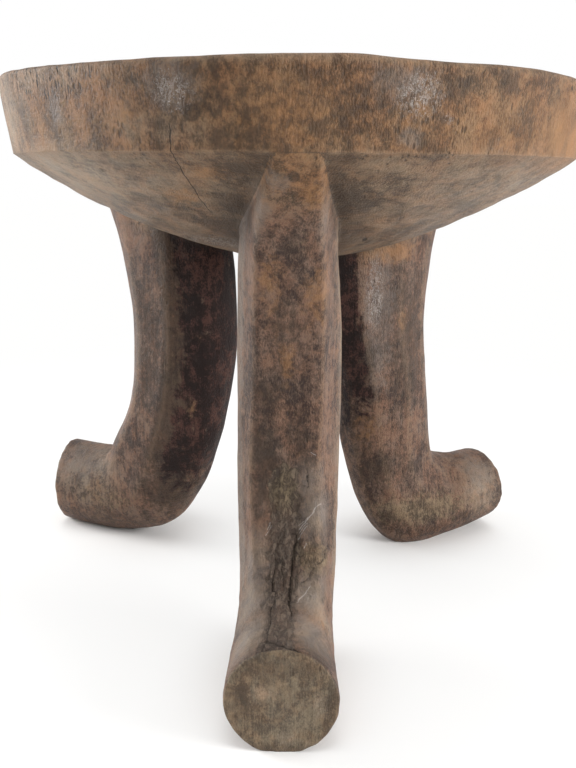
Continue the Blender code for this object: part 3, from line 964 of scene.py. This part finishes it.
def maths(operation, a, b=None, clamp=False):
    """What a math node makes of one or two numbers, of which one at least is a socket."""
    node = tree_of(a, b).nodes.new("ShaderNodeMath")
    node.operation, node.use_clamp = operation, clamp
    feed(node.inputs[0], a)
    feed(node.inputs[1], b)
    return node.outputs[0]


times, over, plus, minus, higher = (
    partial(maths, operation) for operation in ("MULTIPLY", "DIVIDE", "ADD", "SUBTRACT", "MAXIMUM")
)


def weighed(*parts):
    """The sum of values, each times its weight."""
    return reduce(plus, [times(value, weight) for value, weight in parts])


def vectors(operation, a, b=None, scale=None):
    """What a vector math node makes of one or two vectors."""
    node = tree_of(a, b).nodes.new("ShaderNodeVectorMath")
    node.operation = operation
    for socket, given in zip(node.inputs, (a, b, None, scale)):
        feed(socket, given)
    return node.outputs["Value"] if operation in ("DOT_PRODUCT", "LENGTH") else node.outputs["Vector"]


def stepped(value, low, high, to_low=0.0, to_high=1.0):
    """A smooth step of a value from low to high."""
    node = tree_of(value).nodes.new("ShaderNodeMapRange")
    node.interpolation_type = "SMOOTHSTEP"
    for socket, given in zip(node.inputs, (value, low, high, to_low, to_high)):
        feed(socket, given)
    return node.outputs[0]


def tinted(share, a, b, blend="MIX"):
    """Colour a turned into colour b by a share."""
    node = tree_of(share, a, b).nodes.new("ShaderNodeMix")
    node.data_type, node.blend_type = "RGBA", blend
    for i, given in ((0, share), (6, a), (7, b)):
        feed(node.inputs[i], given)
    return node.outputs[2]


def solid_place(tree, stretch=(1, 1, 1)):
    """Object coordinates squeezed by a stretch on each axis."""
    coordinates = tree.nodes.new("ShaderNodeTexCoord")
    mapping = tree.nodes.new("ShaderNodeMapping")
    mapping.inputs["Scale"].default_value = stretch
    feed(mapping.inputs["Vector"], coordinates.outputs["Object"])
    return mapping.outputs[0]


def cloudy(tree, stretch, scale, detail, rough, seed, warp=0.0):
    """Noise of a scale per metre in squeezed object coordinates, from 0 to 1."""
    node = tree.nodes.new("ShaderNodeTexNoise")
    node.noise_dimensions = "4D"
    feed(node.inputs["Vector"], solid_place(tree, stretch))
    given = {"Scale": scale, "Detail": detail, "Roughness": rough, "W": seed, "Distortion": warp}
    for label, value in given.items():
        feed(node.inputs[label], value)
    return node.outputs["Fac"]


def wavering(place, scale, reach):
    """Places pulled about by noise of a scale per metre, up to about half a reach in metres."""
    tree = tree_of(place)
    wiggle = tree.nodes.new("ShaderNodeTexNoise")
    feed(wiggle.inputs["Vector"], solid_place(tree))
    wiggle.inputs["Scale"].default_value = scale
    off = vectors("SUBTRACT", wiggle.outputs["Color"], (0.5, 0.5, 0.5))
    return vectors("ADD", place, vectors("SCALE", off, scale=reach))


def new_group(name, inputs, *outputs):
    """An empty node group. Inputs are numbers, or vectors where three numbers are given."""
    group = bpy.data.node_groups.new(name, "ShaderNodeTree")
    for label, value in inputs.items():
        kind = "NodeSocketVector" if isinstance(value, tuple) else "NodeSocketFloat"
        group.interface.new_socket(label, in_out="INPUT", socket_type=kind).default_value = value
    for label in outputs:
        group.interface.new_socket(label, in_out="OUTPUT", socket_type="NodeSocketFloat")
    entry, leave = group.nodes.new("NodeGroupInput"), group.nodes.new("NodeGroupOutput")
    return group, entry.outputs, leave.inputs


def placed(tree, group, **values):
    """A group placed in a tree with its values. Underscores stand for spaces in the names."""
    node = tree.nodes.new("ShaderNodeGroup")
    node.node_tree = group
    for label, value in values.items():
        feed(node.inputs[label.replace("_", " ")], value)
    return node.outputs


print("node helpers ready")

# %% Group: upright grain
grain, entry, leave = new_group("upright grain", {"Fineness": 900.0}, "Fibre", "Bands", "Dashes", "Scrapes")
fibre = cloudy(grain, (1, 1, 0.05), entry["Fineness"], detail=4, rough=0.6, seed=1)
feed(leave["Fibre"], stepped(fibre, 0.33, 0.67))
bands = cloudy(grain, (1, 1, 0.09), 150, detail=3, rough=0.6, seed=5, warp=0.3)
feed(leave["Bands"], stepped(bands, 0.34, 0.66))
dashes = cloudy(grain, (1, 1, 0.42), times(entry["Fineness"], 1.2), detail=2, rough=0.6, seed=7)
feed(leave["Dashes"], stepped(dashes, 0.36, 0.64))
scrapes = cloudy(grain, (0.10, 0.10, 1), 620, detail=4, rough=0.6, seed=13, warp=0.2)
feed(leave["Scrapes"], stepped(scrapes, 0.36, 0.64))
print("upright grain:", len(grain.nodes), "nodes")

# %% Group: a ragged patch
EDGE_LEVEL = 0.52
ragged_patch, entry, leave = new_group(
    "ragged patch",
    {"Size": 200.0, "Seed": 0.0, "Mark": 0.0, "Strewn": 0.5, "Break": 1.8, "Soft": 0.3}, "Mask",
)
patchy = cloudy(ragged_patch, (1, 1, 0.9), entry["Size"], detail=6, rough=0.62, seed=entry["Seed"], warp=0.4)
wide = cloudy(ragged_patch, (1, 1, 0.6), times(entry["Size"], 0.17), detail=2, rough=0.5, seed=entry["Seed"])
body = higher(entry["Mark"], times(stepped(wide, 0.52, 0.72), entry["Strewn"]))
ragged = plus(body, times(minus(patchy, 0.5), entry["Break"]))
feed(leave["Mask"], stepped(ragged, minus(EDGE_LEVEL, entry["Soft"]), plus(EDGE_LEVEL, entry["Soft"])))
print("ragged patch:", len(ragged_patch.nodes), "nodes")

# %% Group: pits, checks and painted glints
pits, entry, leave = new_group(
    "pits, checks and glints", {"Pit Mark": 0.0, "Check Mark": 0.0, "Scuff Mark": 0.0}, "Pits", "Checks", "Glint Flecks"
)
cells = pits.nodes.new("ShaderNodeTexVoronoi")
feed(cells.inputs["Vector"], solid_place(pits, (1, 1, 0.4)))
cells.inputs["Scale"].default_value = 430.0
core = stepped(cells.outputs["Distance"], 0.34, 0.16)
kept = plus(cloudy(pits, (1, 1, 1), 130, detail=2, rough=0.5, seed=8), times(entry["Pit Mark"], 0.22))
feed(leave["Pits"], times(core, stepped(kept, 0.56, 0.72)))
slits = cloudy(pits, (1, 1, 0.26), 850, detail=1, rough=0.5, seed=4)
feed(leave["Checks"], times(stepped(slits, 0.58, 0.63), stepped(entry["Check Mark"], 0.05, 0.5)))
# Painted glints: pale flecks where the glint marks lie.
glint_flecks = cloudy(pits, (1, 1, 0.8), 900, detail=4, rough=0.7, seed=9, warp=1.5)
feed(leave["Glint Flecks"], times(stepped(glint_flecks, 0.57, 0.64), stepped(entry["Scuff Mark"], 0.1, 0.8)))
print("pits, checks and glints:", len(pits.nodes), "nodes")

# %% Group: growth rings
PITH = (-0.021, 0.013, 0)  # metres from the stool's origin
rings, entry, leave = new_group("growth rings", {"Ring Width": 0.0032}, "Ring")
from_pith = vectors("LENGTH", vectors("SUBTRACT", solid_place(rings, (1, 1, 0.02)), PITH))
waver = times(cloudy(rings, (1, 1, 0.1), 22, detail=3, rough=0.5, seed=3), 0.018)
saw = maths("FRACT", over(plus(from_pith, waver), entry["Ring Width"]))
feed(leave["Ring"], times(stepped(saw, 0.0, 0.8), stepped(saw, 1.0, 0.86)))
print("growth rings:", len(rings.nodes), "nodes")

# %% Group: a hairline split between two places
ORIGIN, IN_PLAN, ALL_WAYS = (0, 0, 0), (1, 1, 0), (1, 1, 1)
LINE_CORE = 0.35  # the part of a line's half width that is wholly dark
hairline, entry, leave = new_group(
    "hairline split",
    {"Width": 0.0004, "Place": ORIGIN, "From": ORIGIN, "To": ORIGIN, "Squash": ALL_WAYS}, "Mask",
)
run, start = (
    vectors("MULTIPLY", vectors("SUBTRACT", entry[label], entry["From"]), entry["Squash"])
    for label in ("To", "Place")
)
share = over(vectors("DOT_PRODUCT", start, run), vectors("DOT_PRODUCT", run, run), clamp=True)
gap = vectors("LENGTH", vectors("SUBTRACT", start, vectors("SCALE", run, scale=share)))
feed(leave["Mask"], stepped(gap, entry["Width"], times(entry["Width"], LINE_CORE)))
print("hairline split:", len(hairline.nodes), "nodes")

# %% The patina's colours
BAND_LIGHT, BAND_DEEP = (0.252, 0.142, 0.074, 1), (0.070, 0.040, 0.022, 1)
BOWL_LIGHT, BOWL_DEEP = (0.218, 0.145, 0.092, 1), (0.067, 0.044, 0.029, 1)
DISH_LIGHT, DISH_DEEP = (0.250, 0.145, 0.075, 1), (0.070, 0.040, 0.022, 1)
LEG_LIGHT, LEG_DEEP = (0.198, 0.120, 0.083, 1), (0.044, 0.026, 0.020, 1)
TOE_LIGHT, TOE_DEEP = (0.255, 0.190, 0.124, 1), (0.090, 0.065, 0.044, 1)
BARE_LIGHT, BARE_DEEP = (0.250, 0.188, 0.115, 1), (0.080, 0.058, 0.038, 1)
PLATE_LIGHT, PLATE_DEEP = (0.180, 0.140, 0.108, 1), (0.060, 0.045, 0.036, 1)
WARM_TINT, COOL_TINT = (1.06, 0.97, 0.90, 1), (0.94, 0.99, 1.02, 1)
GINGER, RUSSET = (0.315, 0.160, 0.068, 1), (0.300, 0.142, 0.050, 1)
# Faded wood also paints sheen.
FADED_WOOD_AND_SHEEN, WORN_TAN = (0.370, 0.280, 0.200, 1), (0.300, 0.205, 0.130, 1)
FILM_AND_SHEEN_TAN, FILM_AND_SHEEN_GREY = (0.260, 0.205, 0.155, 1), (0.205, 0.170, 0.145, 1)
# Smoke grey also paints sheen, and the pale colour paints glints and pale scratches.
SMOKE_GREY_AND_SHEEN, GLINT_AND_SCRATCH_PALE = (0.150, 0.124, 0.106, 1), (0.48, 0.44, 0.41, 1)
# Stain dark also paints the shade in creases and on the rear legs.
STAIN_AND_SHADE_DARK, SPLIT_BLACK = (0.042, 0.027, 0.018, 1), (0.020, 0.014, 0.010, 1)
# Soot colours, which also paint the shade on the legs' inner sides.
SHADED_SOOT_DARK, SHADED_SOOT_RED = (0.010, 0.003, 0.002, 1), (0.070, 0.030, 0.022, 1)
print("band from", BAND_DEEP[:3], "to", BAND_LIGHT[:3])

# %% [markdown]
# ## One material in two versions
#
# Both woods are made in the same steps: textures, the wood's own colours, the patina over them, and
# last the damage. The seat and the legs differ only in their damage. The masks on the points say where
# each thing lies.

# %% Textures and the wood's own colours


def mask(tree, label):
    """A mask that is written on the points."""
    node = tree.nodes.new("ShaderNodeAttribute")
    node.attribute_name = label
    return node.outputs["Fac"]


def textures(tree):
    """The noises that the wood is mixed from, from soft clouds to single fibres."""
    fibres = placed(tree, grain, Fineness=1000.0)
    ring = placed(tree, rings, Ring_Width=0.0032)["Ring"]
    cloud = stepped(cloudy(tree, (1, 1, 0.8), 48, detail=4, rough=0.6, seed=2, warp=0.5), 0.36, 0.64)
    hue = stepped(cloudy(tree, (1, 1, 0.8), 85, detail=6, rough=0.65, seed=31, warp=0.6), 0.40, 0.60)
    mottle = cloudy(tree, (1, 1, 0.85), 220, detail=8, rough=0.70, seed=6, warp=0.5)
    bark = cloudy(tree, (1, 0.5, 0.5), 520, detail=6, rough=0.7, seed=41, warp=0.8)
    fine = cloudy(tree, (1, 1, 0.6), 1500, detail=2, rough=0.6, seed=17)
    mottled = stepped(mottle, 0.32, 0.68)
    raw = weighed(
        (mottled, 0.34), (fibres["Dashes"], 0.10), (stepped(fine, 0.34, 0.66), 0.17), (cloud, 0.24),
        (fibres["Bands"], 0.08), (ring, 0.07),
    )
    return SimpleNamespace(
        fibres=fibres, cloud=cloud, hue=hue, mottle=mottle, mottled=mottled, bark=bark, fine=fine,
        raw=raw, tone=stepped(raw, 0.24, 0.76),
    )


def own_colour(tree, tex):
    """A deep and a light tone for each part of the stool, with hints of warm and cool, faded and painted
    sheen in places.
    """
    scraped = stepped(weighed((tex.raw, 0.95), (tex.fibres["Scrapes"], 0.05)), 0.22, 0.78)
    sawn = stepped(weighed((tex.raw, 0.85), (tex.fibres["Fibre"], 0.15)), 0.25, 0.75)
    colour = tinted(tex.tone, BAND_DEEP, BAND_LIGHT)
    for label, shade, deep, light in (
        ("under", scraped, BOWL_DEEP, BOWL_LIGHT), ("top", tex.tone, DISH_DEEP, DISH_LIGHT),
        ("leg", tex.tone, LEG_DEEP, LEG_LIGHT), ("toe", sawn, TOE_DEEP, TOE_LIGHT),
    ):
        colour = tinted(mask(tree, label), colour, tinted(shade, deep, light))
    # Pale worn wood, and painted sheen, from its mask.
    faded_and_sheen = times(mask(tree, "faded_and_sheen"), stepped(tex.raw, 0.15, 0.70, 0.25, 0.95))
    colour = tinted(faded_and_sheen, colour, FADED_WOOD_AND_SHEEN)
    return tinted(1.0, colour, tinted(tex.hue, COOL_TINT, WARM_TINT), "MULTIPLY")


print("textures and own colours ready")

# %% The patina


def patched(below, share, colour, **values):
    """The colour below with a ragged patch over it, and the patch's mask."""
    spread = placed(tree_of(below), ragged_patch, **values)["Mask"]
    return tinted(times(spread, share), below, colour), spread


def patina(tree, tex, colour):
    """The colour under stains, polish, soot, painted shade and painted sheen, their gloss, and the skin's
    plates.
    """
    sawn, leg = mask(tree, "toe"), mask(tree, "leg")
    colour = tinted(times(mask(tree, "russet"), 0.7), colour, RUSSET)
    share, strewn = stepped(sawn, 0.0, 1.0, 0.56, 0.10), stepped(leg, 0.0, 1.0, 0.10, 0.28)
    colour, _ = patched(colour, share, GINGER, Size=300, Seed=11, Mark=mask(tree, "warm"), Strewn=strewn)
    # Grey patches: smoky polish with painted sheen on it.
    colour, grey_and_sheen = patched(
        colour, 0.50, SMOKE_GREY_AND_SHEEN, Size=220, Seed=23, Mark=mask(tree, "grey_and_sheen"), Strewn=0.25,
    )
    bare_colour = tinted(tex.tone, BARE_DEEP, BARE_LIGHT)
    colour, bare = patched(
        colour, 0.70, bare_colour, Size=360, Seed=37, Mark=mask(tree, "bare"), Strewn=0.30,
    )
    share, strewn = stepped(sawn, 0.0, 1.0, 0.70, 0.46), stepped(leg, 0.0, 1.0, 0.26, 0.46)
    colour, dark = patched(
        colour, share, STAIN_AND_SHADE_DARK, Size=300, Seed=5, Mark=mask(tree, "dark"), Strewn=strewn, Soft=0.28,
    )
    # Soot, with painted shade in it, on the legs' inner sides.
    shaded_soot_colour = tinted(stepped(tex.raw, 0.42, 0.76), SHADED_SOOT_DARK, SHADED_SOOT_RED)
    colour, soot_and_shade = patched(
        colour, 1.0, shaded_soot_colour, Size=130, Seed=51, Mark=mask(tree, "soot_and_shade"), Strewn=0,
        Break=2.6, Soft=0.24,
    )
    # The film mask is polish, and on the head's edges painted sheen.
    thin = stepped(weighed((tex.cloud, 0.5), (tex.mottled, 0.5)), 0.0, 0.8, 0.62, 0.95)
    film_and_sheen = times(mask(tree, "film_and_sheen"), thin)
    colour = tinted(film_and_sheen, colour, tinted(tex.hue, FILM_AND_SHEEN_GREY, FILM_AND_SHEEN_TAN))

    plates = stepped(tex.bark, 0.42, 0.58)
    skinned = stepped(weighed((mask(tree, "flaked"), 1.0), (tex.mottled, 0.5)), 0.45, 0.95)
    plate_light = tinted(times(mask(tree, "bare"), 0.8), PLATE_LIGHT, BARE_LIGHT)
    colour = tinted(times(skinned, 0.65), colour, tinted(plates, PLATE_DEEP, plate_light))

    knot = stepped(mask(tree, "knot"), 0.30, 0.62)
    # Painted shade in the creases at the legs' heads and beside the split's grooves, and the knot's own
    # dark.
    shade_and_knot = weighed((mask(tree, "crease_shade"), 0.62), (mask(tree, "groove"), 0.30), (knot, 0.85))
    colour = tinted(times(shade_and_knot, stepped(tex.raw, 0.9, 0.2, 0.7, 1.0)), colour, STAIN_AND_SHADE_DARK)
    worn = times(mask(tree, "worn"), stepped(tex.raw, 0.15, 0.55, 0.3, 1.0))
    colour = tinted(times(worn, 0.45), colour, WORN_TAN)
    gloss = ((bare, 0.14), (skinned, 0.14), (grey_and_sheen, -0.14), (film_and_sheen, -0.10), (soot_and_shade, 0.06), (dark, -0.04))
    return colour, gloss, times(skinned, plates)


print("patina ready")

# %% Splits, scratches and an insect's hole
SPLIT_COURSE = (  # millimetres from the seat's axis, from the band in under the bowl
    (-45.7, -156, 268), (-46.4, -142.6, 257.4), (-42, -124, 245), (-39, -112, 238), (-35.5, -101.7, 232.6),
)
SPLIT_TOP, SPLIT_WIDTH = 268.0, 0.0003
SCRATCHES = (  # two ends in millimetres, across the front leg's front and down it
    ((6.1, 25.9), (15.6, 12.8)), ((5.6, 24.0), (11.6, 18.5)), ((9.3, 21.5), (13.6, 15.2)),
    ((5.2, 30.6), (9.9, 23.8)), ((5.9, 27.8), (9.9, 22.1)), ((7.5, 23.8), (12.7, 17.3)),
    ((7.6, 34.7), (9.1, 32.1)), ((4.9, 62.2), (11.6, 53.2)), ((5.3, 61.0), (9.7, 55.3)),
    ((-9.9, 28.8), (-8.0, 24.2)), ((-9.9, 25.9), (-8.4, 22.8)), ((10.8, -8.9), (13.3, -7.2)),
)
SCRATCH_WIDTH, SCRATCH_SHARE = 0.00024, 0.65
INSECT_HOLE, HOLE_SQUASH = (36.3, -65.9, 218.1), (1, 0.42, 0)
HOLE_OUTER, HOLE_INNER = 0.0014, 0.0010


def in_frame(place):
    """A place in millimetres from the seat's axis, in metres in the stool's frame."""
    return tuple(a * MM + b for a, b in zip(place, SEAT_AXIS))


def seat_damage(tree, _):
    """Dark masks of the split down the rim and the insect's hole. The seat has no pale scratches."""
    height = tree.nodes.new("ShaderNodeSeparateXYZ")
    feed(height.inputs[0], solid_place(tree))
    below = stepped(height.outputs["Z"], (SPLIT_TOP + 1) * MM, (SPLIT_TOP - 1) * MM)
    here = wavering(solid_place(tree), 420, 0.0016)
    cracks = []
    for start, end in zip(map(in_frame, SPLIT_COURSE), map(in_frame, SPLIT_COURSE[1:])):
        line = placed(tree, hairline, Place=here, From=start, To=end, Squash=IN_PLAN, Width=SPLIT_WIDTH)
        cracks.append(times(line["Mask"], below))
    away = vectors("SUBTRACT", solid_place(tree), in_frame(INSECT_HOLE))
    away = vectors("LENGTH", vectors("MULTIPLY", away, HOLE_SQUASH))
    cracks.append(times(stepped(away, HOLE_OUTER, HOLE_INNER), mask(tree, "under")))
    return cracks, []


def leg_damage(tree, tex):
    """A dark mask of the long split, where the distance on the points crosses zero, and pale scratches."""
    width = mask(tree, "split_width")
    waver = weighed((minus(tex.fine, 0.5), 0.0016), (minus(tex.mottle, 0.5), 0.0030))
    off_line = maths("ABSOLUTE", plus(mask(tree, "split_side"), waver))
    split = stepped(off_line, width, times(width, LINE_CORE))
    split = times(split, stepped(mask(tree, "split_near"), 0.2, 0.45))
    split = times(split, stepped(tex.cloud, 0.05, 0.5, 0.55, 0.95))
    flat = tree.nodes.new("ShaderNodeCombineXYZ")
    feed(flat.inputs[0], mask(tree, "across"))
    feed(flat.inputs[1], mask(tree, "down"))
    here = wavering(flat.outputs[0], 900, 0.0007)
    scratches = []
    for ends in SCRATCHES:
        start, end = ((across * MM, down * MM, 0) for across, down in ends)
        line = placed(tree, hairline, Place=here, From=start, To=end, Squash=ALL_WAYS, Width=SCRATCH_WIDTH)
        scratches.append(times(line["Mask"], SCRATCH_SHARE))
    return [split], scratches


print("split of", len(SPLIT_COURSE), "places and", len(SCRATCHES), "scratches")

# %% The carved wood's material
SHEEN, BASE_ROUGHNESS = 0.22, 0.36
RELIEF_HEIGHT = 0.001


def carved_wood(name, damage):
    """The material of the block, with the damage of the seat or of the legs."""
    material = bpy.data.materials.new(name)
    material.use_nodes = True
    tree = material.node_tree
    shader = tree.nodes["Principled BSDF"]
    shader.inputs["Specular IOR Level"].default_value = SHEEN
    tex = textures(tree)
    colour, gloss, plated = patina(tree, tex, own_colour(tree, tex))

    # Painted glints: pale flecks and chip edges where the glint marks lie, drawn with the pale scratches.
    glint_marks = mask(tree, "glint")
    marks = placed(
        tree, pits, Pit_Mark=mask(tree, "pit"), Check_Mark=mask(tree, "check"), Scuff_Mark=glint_marks,
    )
    chip_edges = stepped(maths("ABSOLUTE", minus(tex.bark, 0.53)), 0.026, 0.010)
    glinting_chips = times(chip_edges, stepped(glint_marks, 0.25, 1.0, 0.0, 0.8))
    cracks, scratches = damage(tree, tex)
    crack = reduce(higher, [marks["Checks"], *cracks])
    glints_and_scratches = reduce(higher, [marks["Glint Flecks"], glinting_chips, *scratches])
    colour = tinted(times(glints_and_scratches, 0.8), colour, GLINT_AND_SCRATCH_PALE)
    colour = tinted(times(marks["Pits"], 0.7), colour, STAIN_AND_SHADE_DARK)
    colour = tinted(times(crack, 0.9), colour, SPLIT_BLACK)
    feed(shader.inputs["Base Color"], colour)
    feed(shader.inputs["Roughness"], plus(weighed((tex.mottle, 0.30), *gloss), BASE_ROUGHNESS))

    relief = weighed(
        (tex.fibres["Fibre"], 0.10), (tex.fibres["Dashes"], 0.22), (tex.mottle, 1.1),
        (tex.fibres["Scrapes"], 0.10), (plated, 0.7), (marks["Pits"], -0.4), (marks["Glint Flecks"], -0.15),
        (crack, -0.9),
    )
    bump = tree.nodes.new("ShaderNodeBump")
    bump.inputs["Strength"].default_value = 1.0
    bump.inputs["Distance"].default_value = RELIEF_HEIGHT
    feed(bump.inputs["Height"], relief)
    feed(shader.inputs["Normal"], bump.outputs["Normal"])
    return material


rim_wood = carved_wood("worn rim wood", seat_damage)
leg_wood = carved_wood("smoked leg wood", leg_damage)
for obj in pieces:
    obj.data.materials.append(rim_wood if obj.name == "carved_seat" else leg_wood)
print("wood nodes:", len(rim_wood.node_tree.nodes), "and", len(leg_wood.node_tree.nodes))

# %% [markdown]
# ## Floor and light
#
# The stool stands on a pale sweep in a white room. Whoever looks at it stands in the light from the
# front, so the sides of the rim are brighter than its middle. The world is white to the camera and in
# reflections, and dimmer as a lamp, so that the wood's colours come out as written. The floor keeps the
# faint shadows under the feet and fades into the white room further off.

# %% Pale floor
FLOOR_SIZE = 12.0
PAPER, PAPER_GLOW = (0.97, 0.965, 0.955, 1), (1, 1, 0.995, 1)
GLOW_FROM, GLOW_FULL, NEAR_GLOW = 0.16, 0.7, 0.70
CREVICE_REACH, CREVICE_SAMPLES = 0.05, 12
floor_shape = bmesh.new()
bmesh.ops.create_grid(floor_shape, x_segments=1, y_segments=1, size=FLOOR_SIZE / 2)
floor_mesh = bpy.data.meshes.new("floor")
floor_shape.to_mesh(floor_mesh)
floor_shape.free()
floor = bpy.data.objects.new("floor", floor_mesh)
bpy.context.scene.collection.objects.link(floor)
floor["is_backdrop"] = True
paper = bpy.data.materials.new("pale floor")
paper.use_nodes = True
tree = paper.node_tree
shader = tree.nodes["Principled BSDF"]
shader.inputs["Base Color"].default_value = PAPER
shader.inputs["Roughness"].default_value = 0.8
shader.inputs["Specular IOR Level"].default_value = 0.1
white = tree.nodes.new("ShaderNodeEmission")
white.inputs["Color"].default_value = PAPER_GLOW
rays = tree.nodes.new("ShaderNodeLightPath")
# Close under the feet the floor doesn't glow, so that it keeps its whole shadow there.
crevice = tree.nodes.new("ShaderNodeAmbientOcclusion")
crevice.samples = CREVICE_SAMPLES
crevice.inputs["Distance"].default_value = CREVICE_REACH
glow = stepped(vectors("LENGTH", solid_place(tree)), GLOW_FROM, GLOW_FULL, NEAR_GLOW, 1.0)
glow = times(glow, stepped(crevice.outputs["AO"], 0.45, 1.0))
blend = tree.nodes.new("ShaderNodeMixShader")
feed(blend.inputs[0], times(glow, rays.outputs["Is Camera Ray"]))
feed(blend.inputs[1], shader.outputs[0])
feed(blend.inputs[2], white.outputs[0])
feed(tree.nodes["Material Output"].inputs["Surface"], blend.outputs[0])
floor_mesh.materials.append(paper)
print("floor", FLOOR_SIZE, "m across")

# %% Soft light
WORLD_LEVEL, FRONT_LEVEL, FRONT_MIRRORED = 0.86, 0.34, 0.3
TO_FRONT = (0.0, -0.97, 0.24)
LAMP_AIM = Vector((0, 0, 0.15))
LAMPS = (  # place, size across and watts
    ("window", (-1.25, 0.25, 0.55), 0.6, 14),
    ("second window", (1.2, -0.45, 0.5), 0.6, 15),
    ("skylight", (0.0, -0.3, 2.2), 1.0, 11),
)
world = bpy.data.worlds.new("white room")
world.use_nodes = True
bpy.context.scene.world = world
tree = world.node_tree
sky = tree.nodes["Background"]
sky.inputs["Color"].default_value = (1, 1, 1, 1)
rays = tree.nodes.new("ShaderNodeLightPath")
towards = tree.nodes.new("ShaderNodeTexCoord").outputs["Generated"]
frontward = vectors("DOT_PRODUCT", towards, TO_FRONT)
room = stepped(frontward, 0.1, 0.85, WORLD_LEVEL, FRONT_LEVEL)
mirrored = stepped(frontward, 0.1, 0.9, 1.0, FRONT_MIRRORED)
lit = higher(room, times(mirrored, rays.outputs["Is Glossy Ray"]))
seen = higher(rays.outputs["Is Camera Ray"], rays.outputs["Is Transmission Ray"])
feed(sky.inputs["Strength"], higher(lit, seen))
for name, place, size, watts in LAMPS:
    data = bpy.data.lights.new(name, "AREA")
    data.shape, data.size, data.energy = "DISK", size, watts
    lamp = bpy.data.objects.new(name, data)
    lamp.location = place
    lamp.rotation_euler = (LAMP_AIM - Vector(place)).to_track_quat("-Z", "Y").to_euler()
    bpy.context.scene.collection.objects.link(lamp)
print("world", WORLD_LEVEL, "and", len(LAMPS), "lamps")

# %% View and sizes
bpy.context.scene.view_settings.view_transform = "Standard"
low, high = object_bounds()
sizes = {
    "cad": [list(cad_low), list(cad_high)],
    "visual": [list(low), list(high)],
}
for label, (a, b) in sizes.items():
    print(label, [round(1000 * (q - p), 1) for p, q in zip(a, b)], "mm")
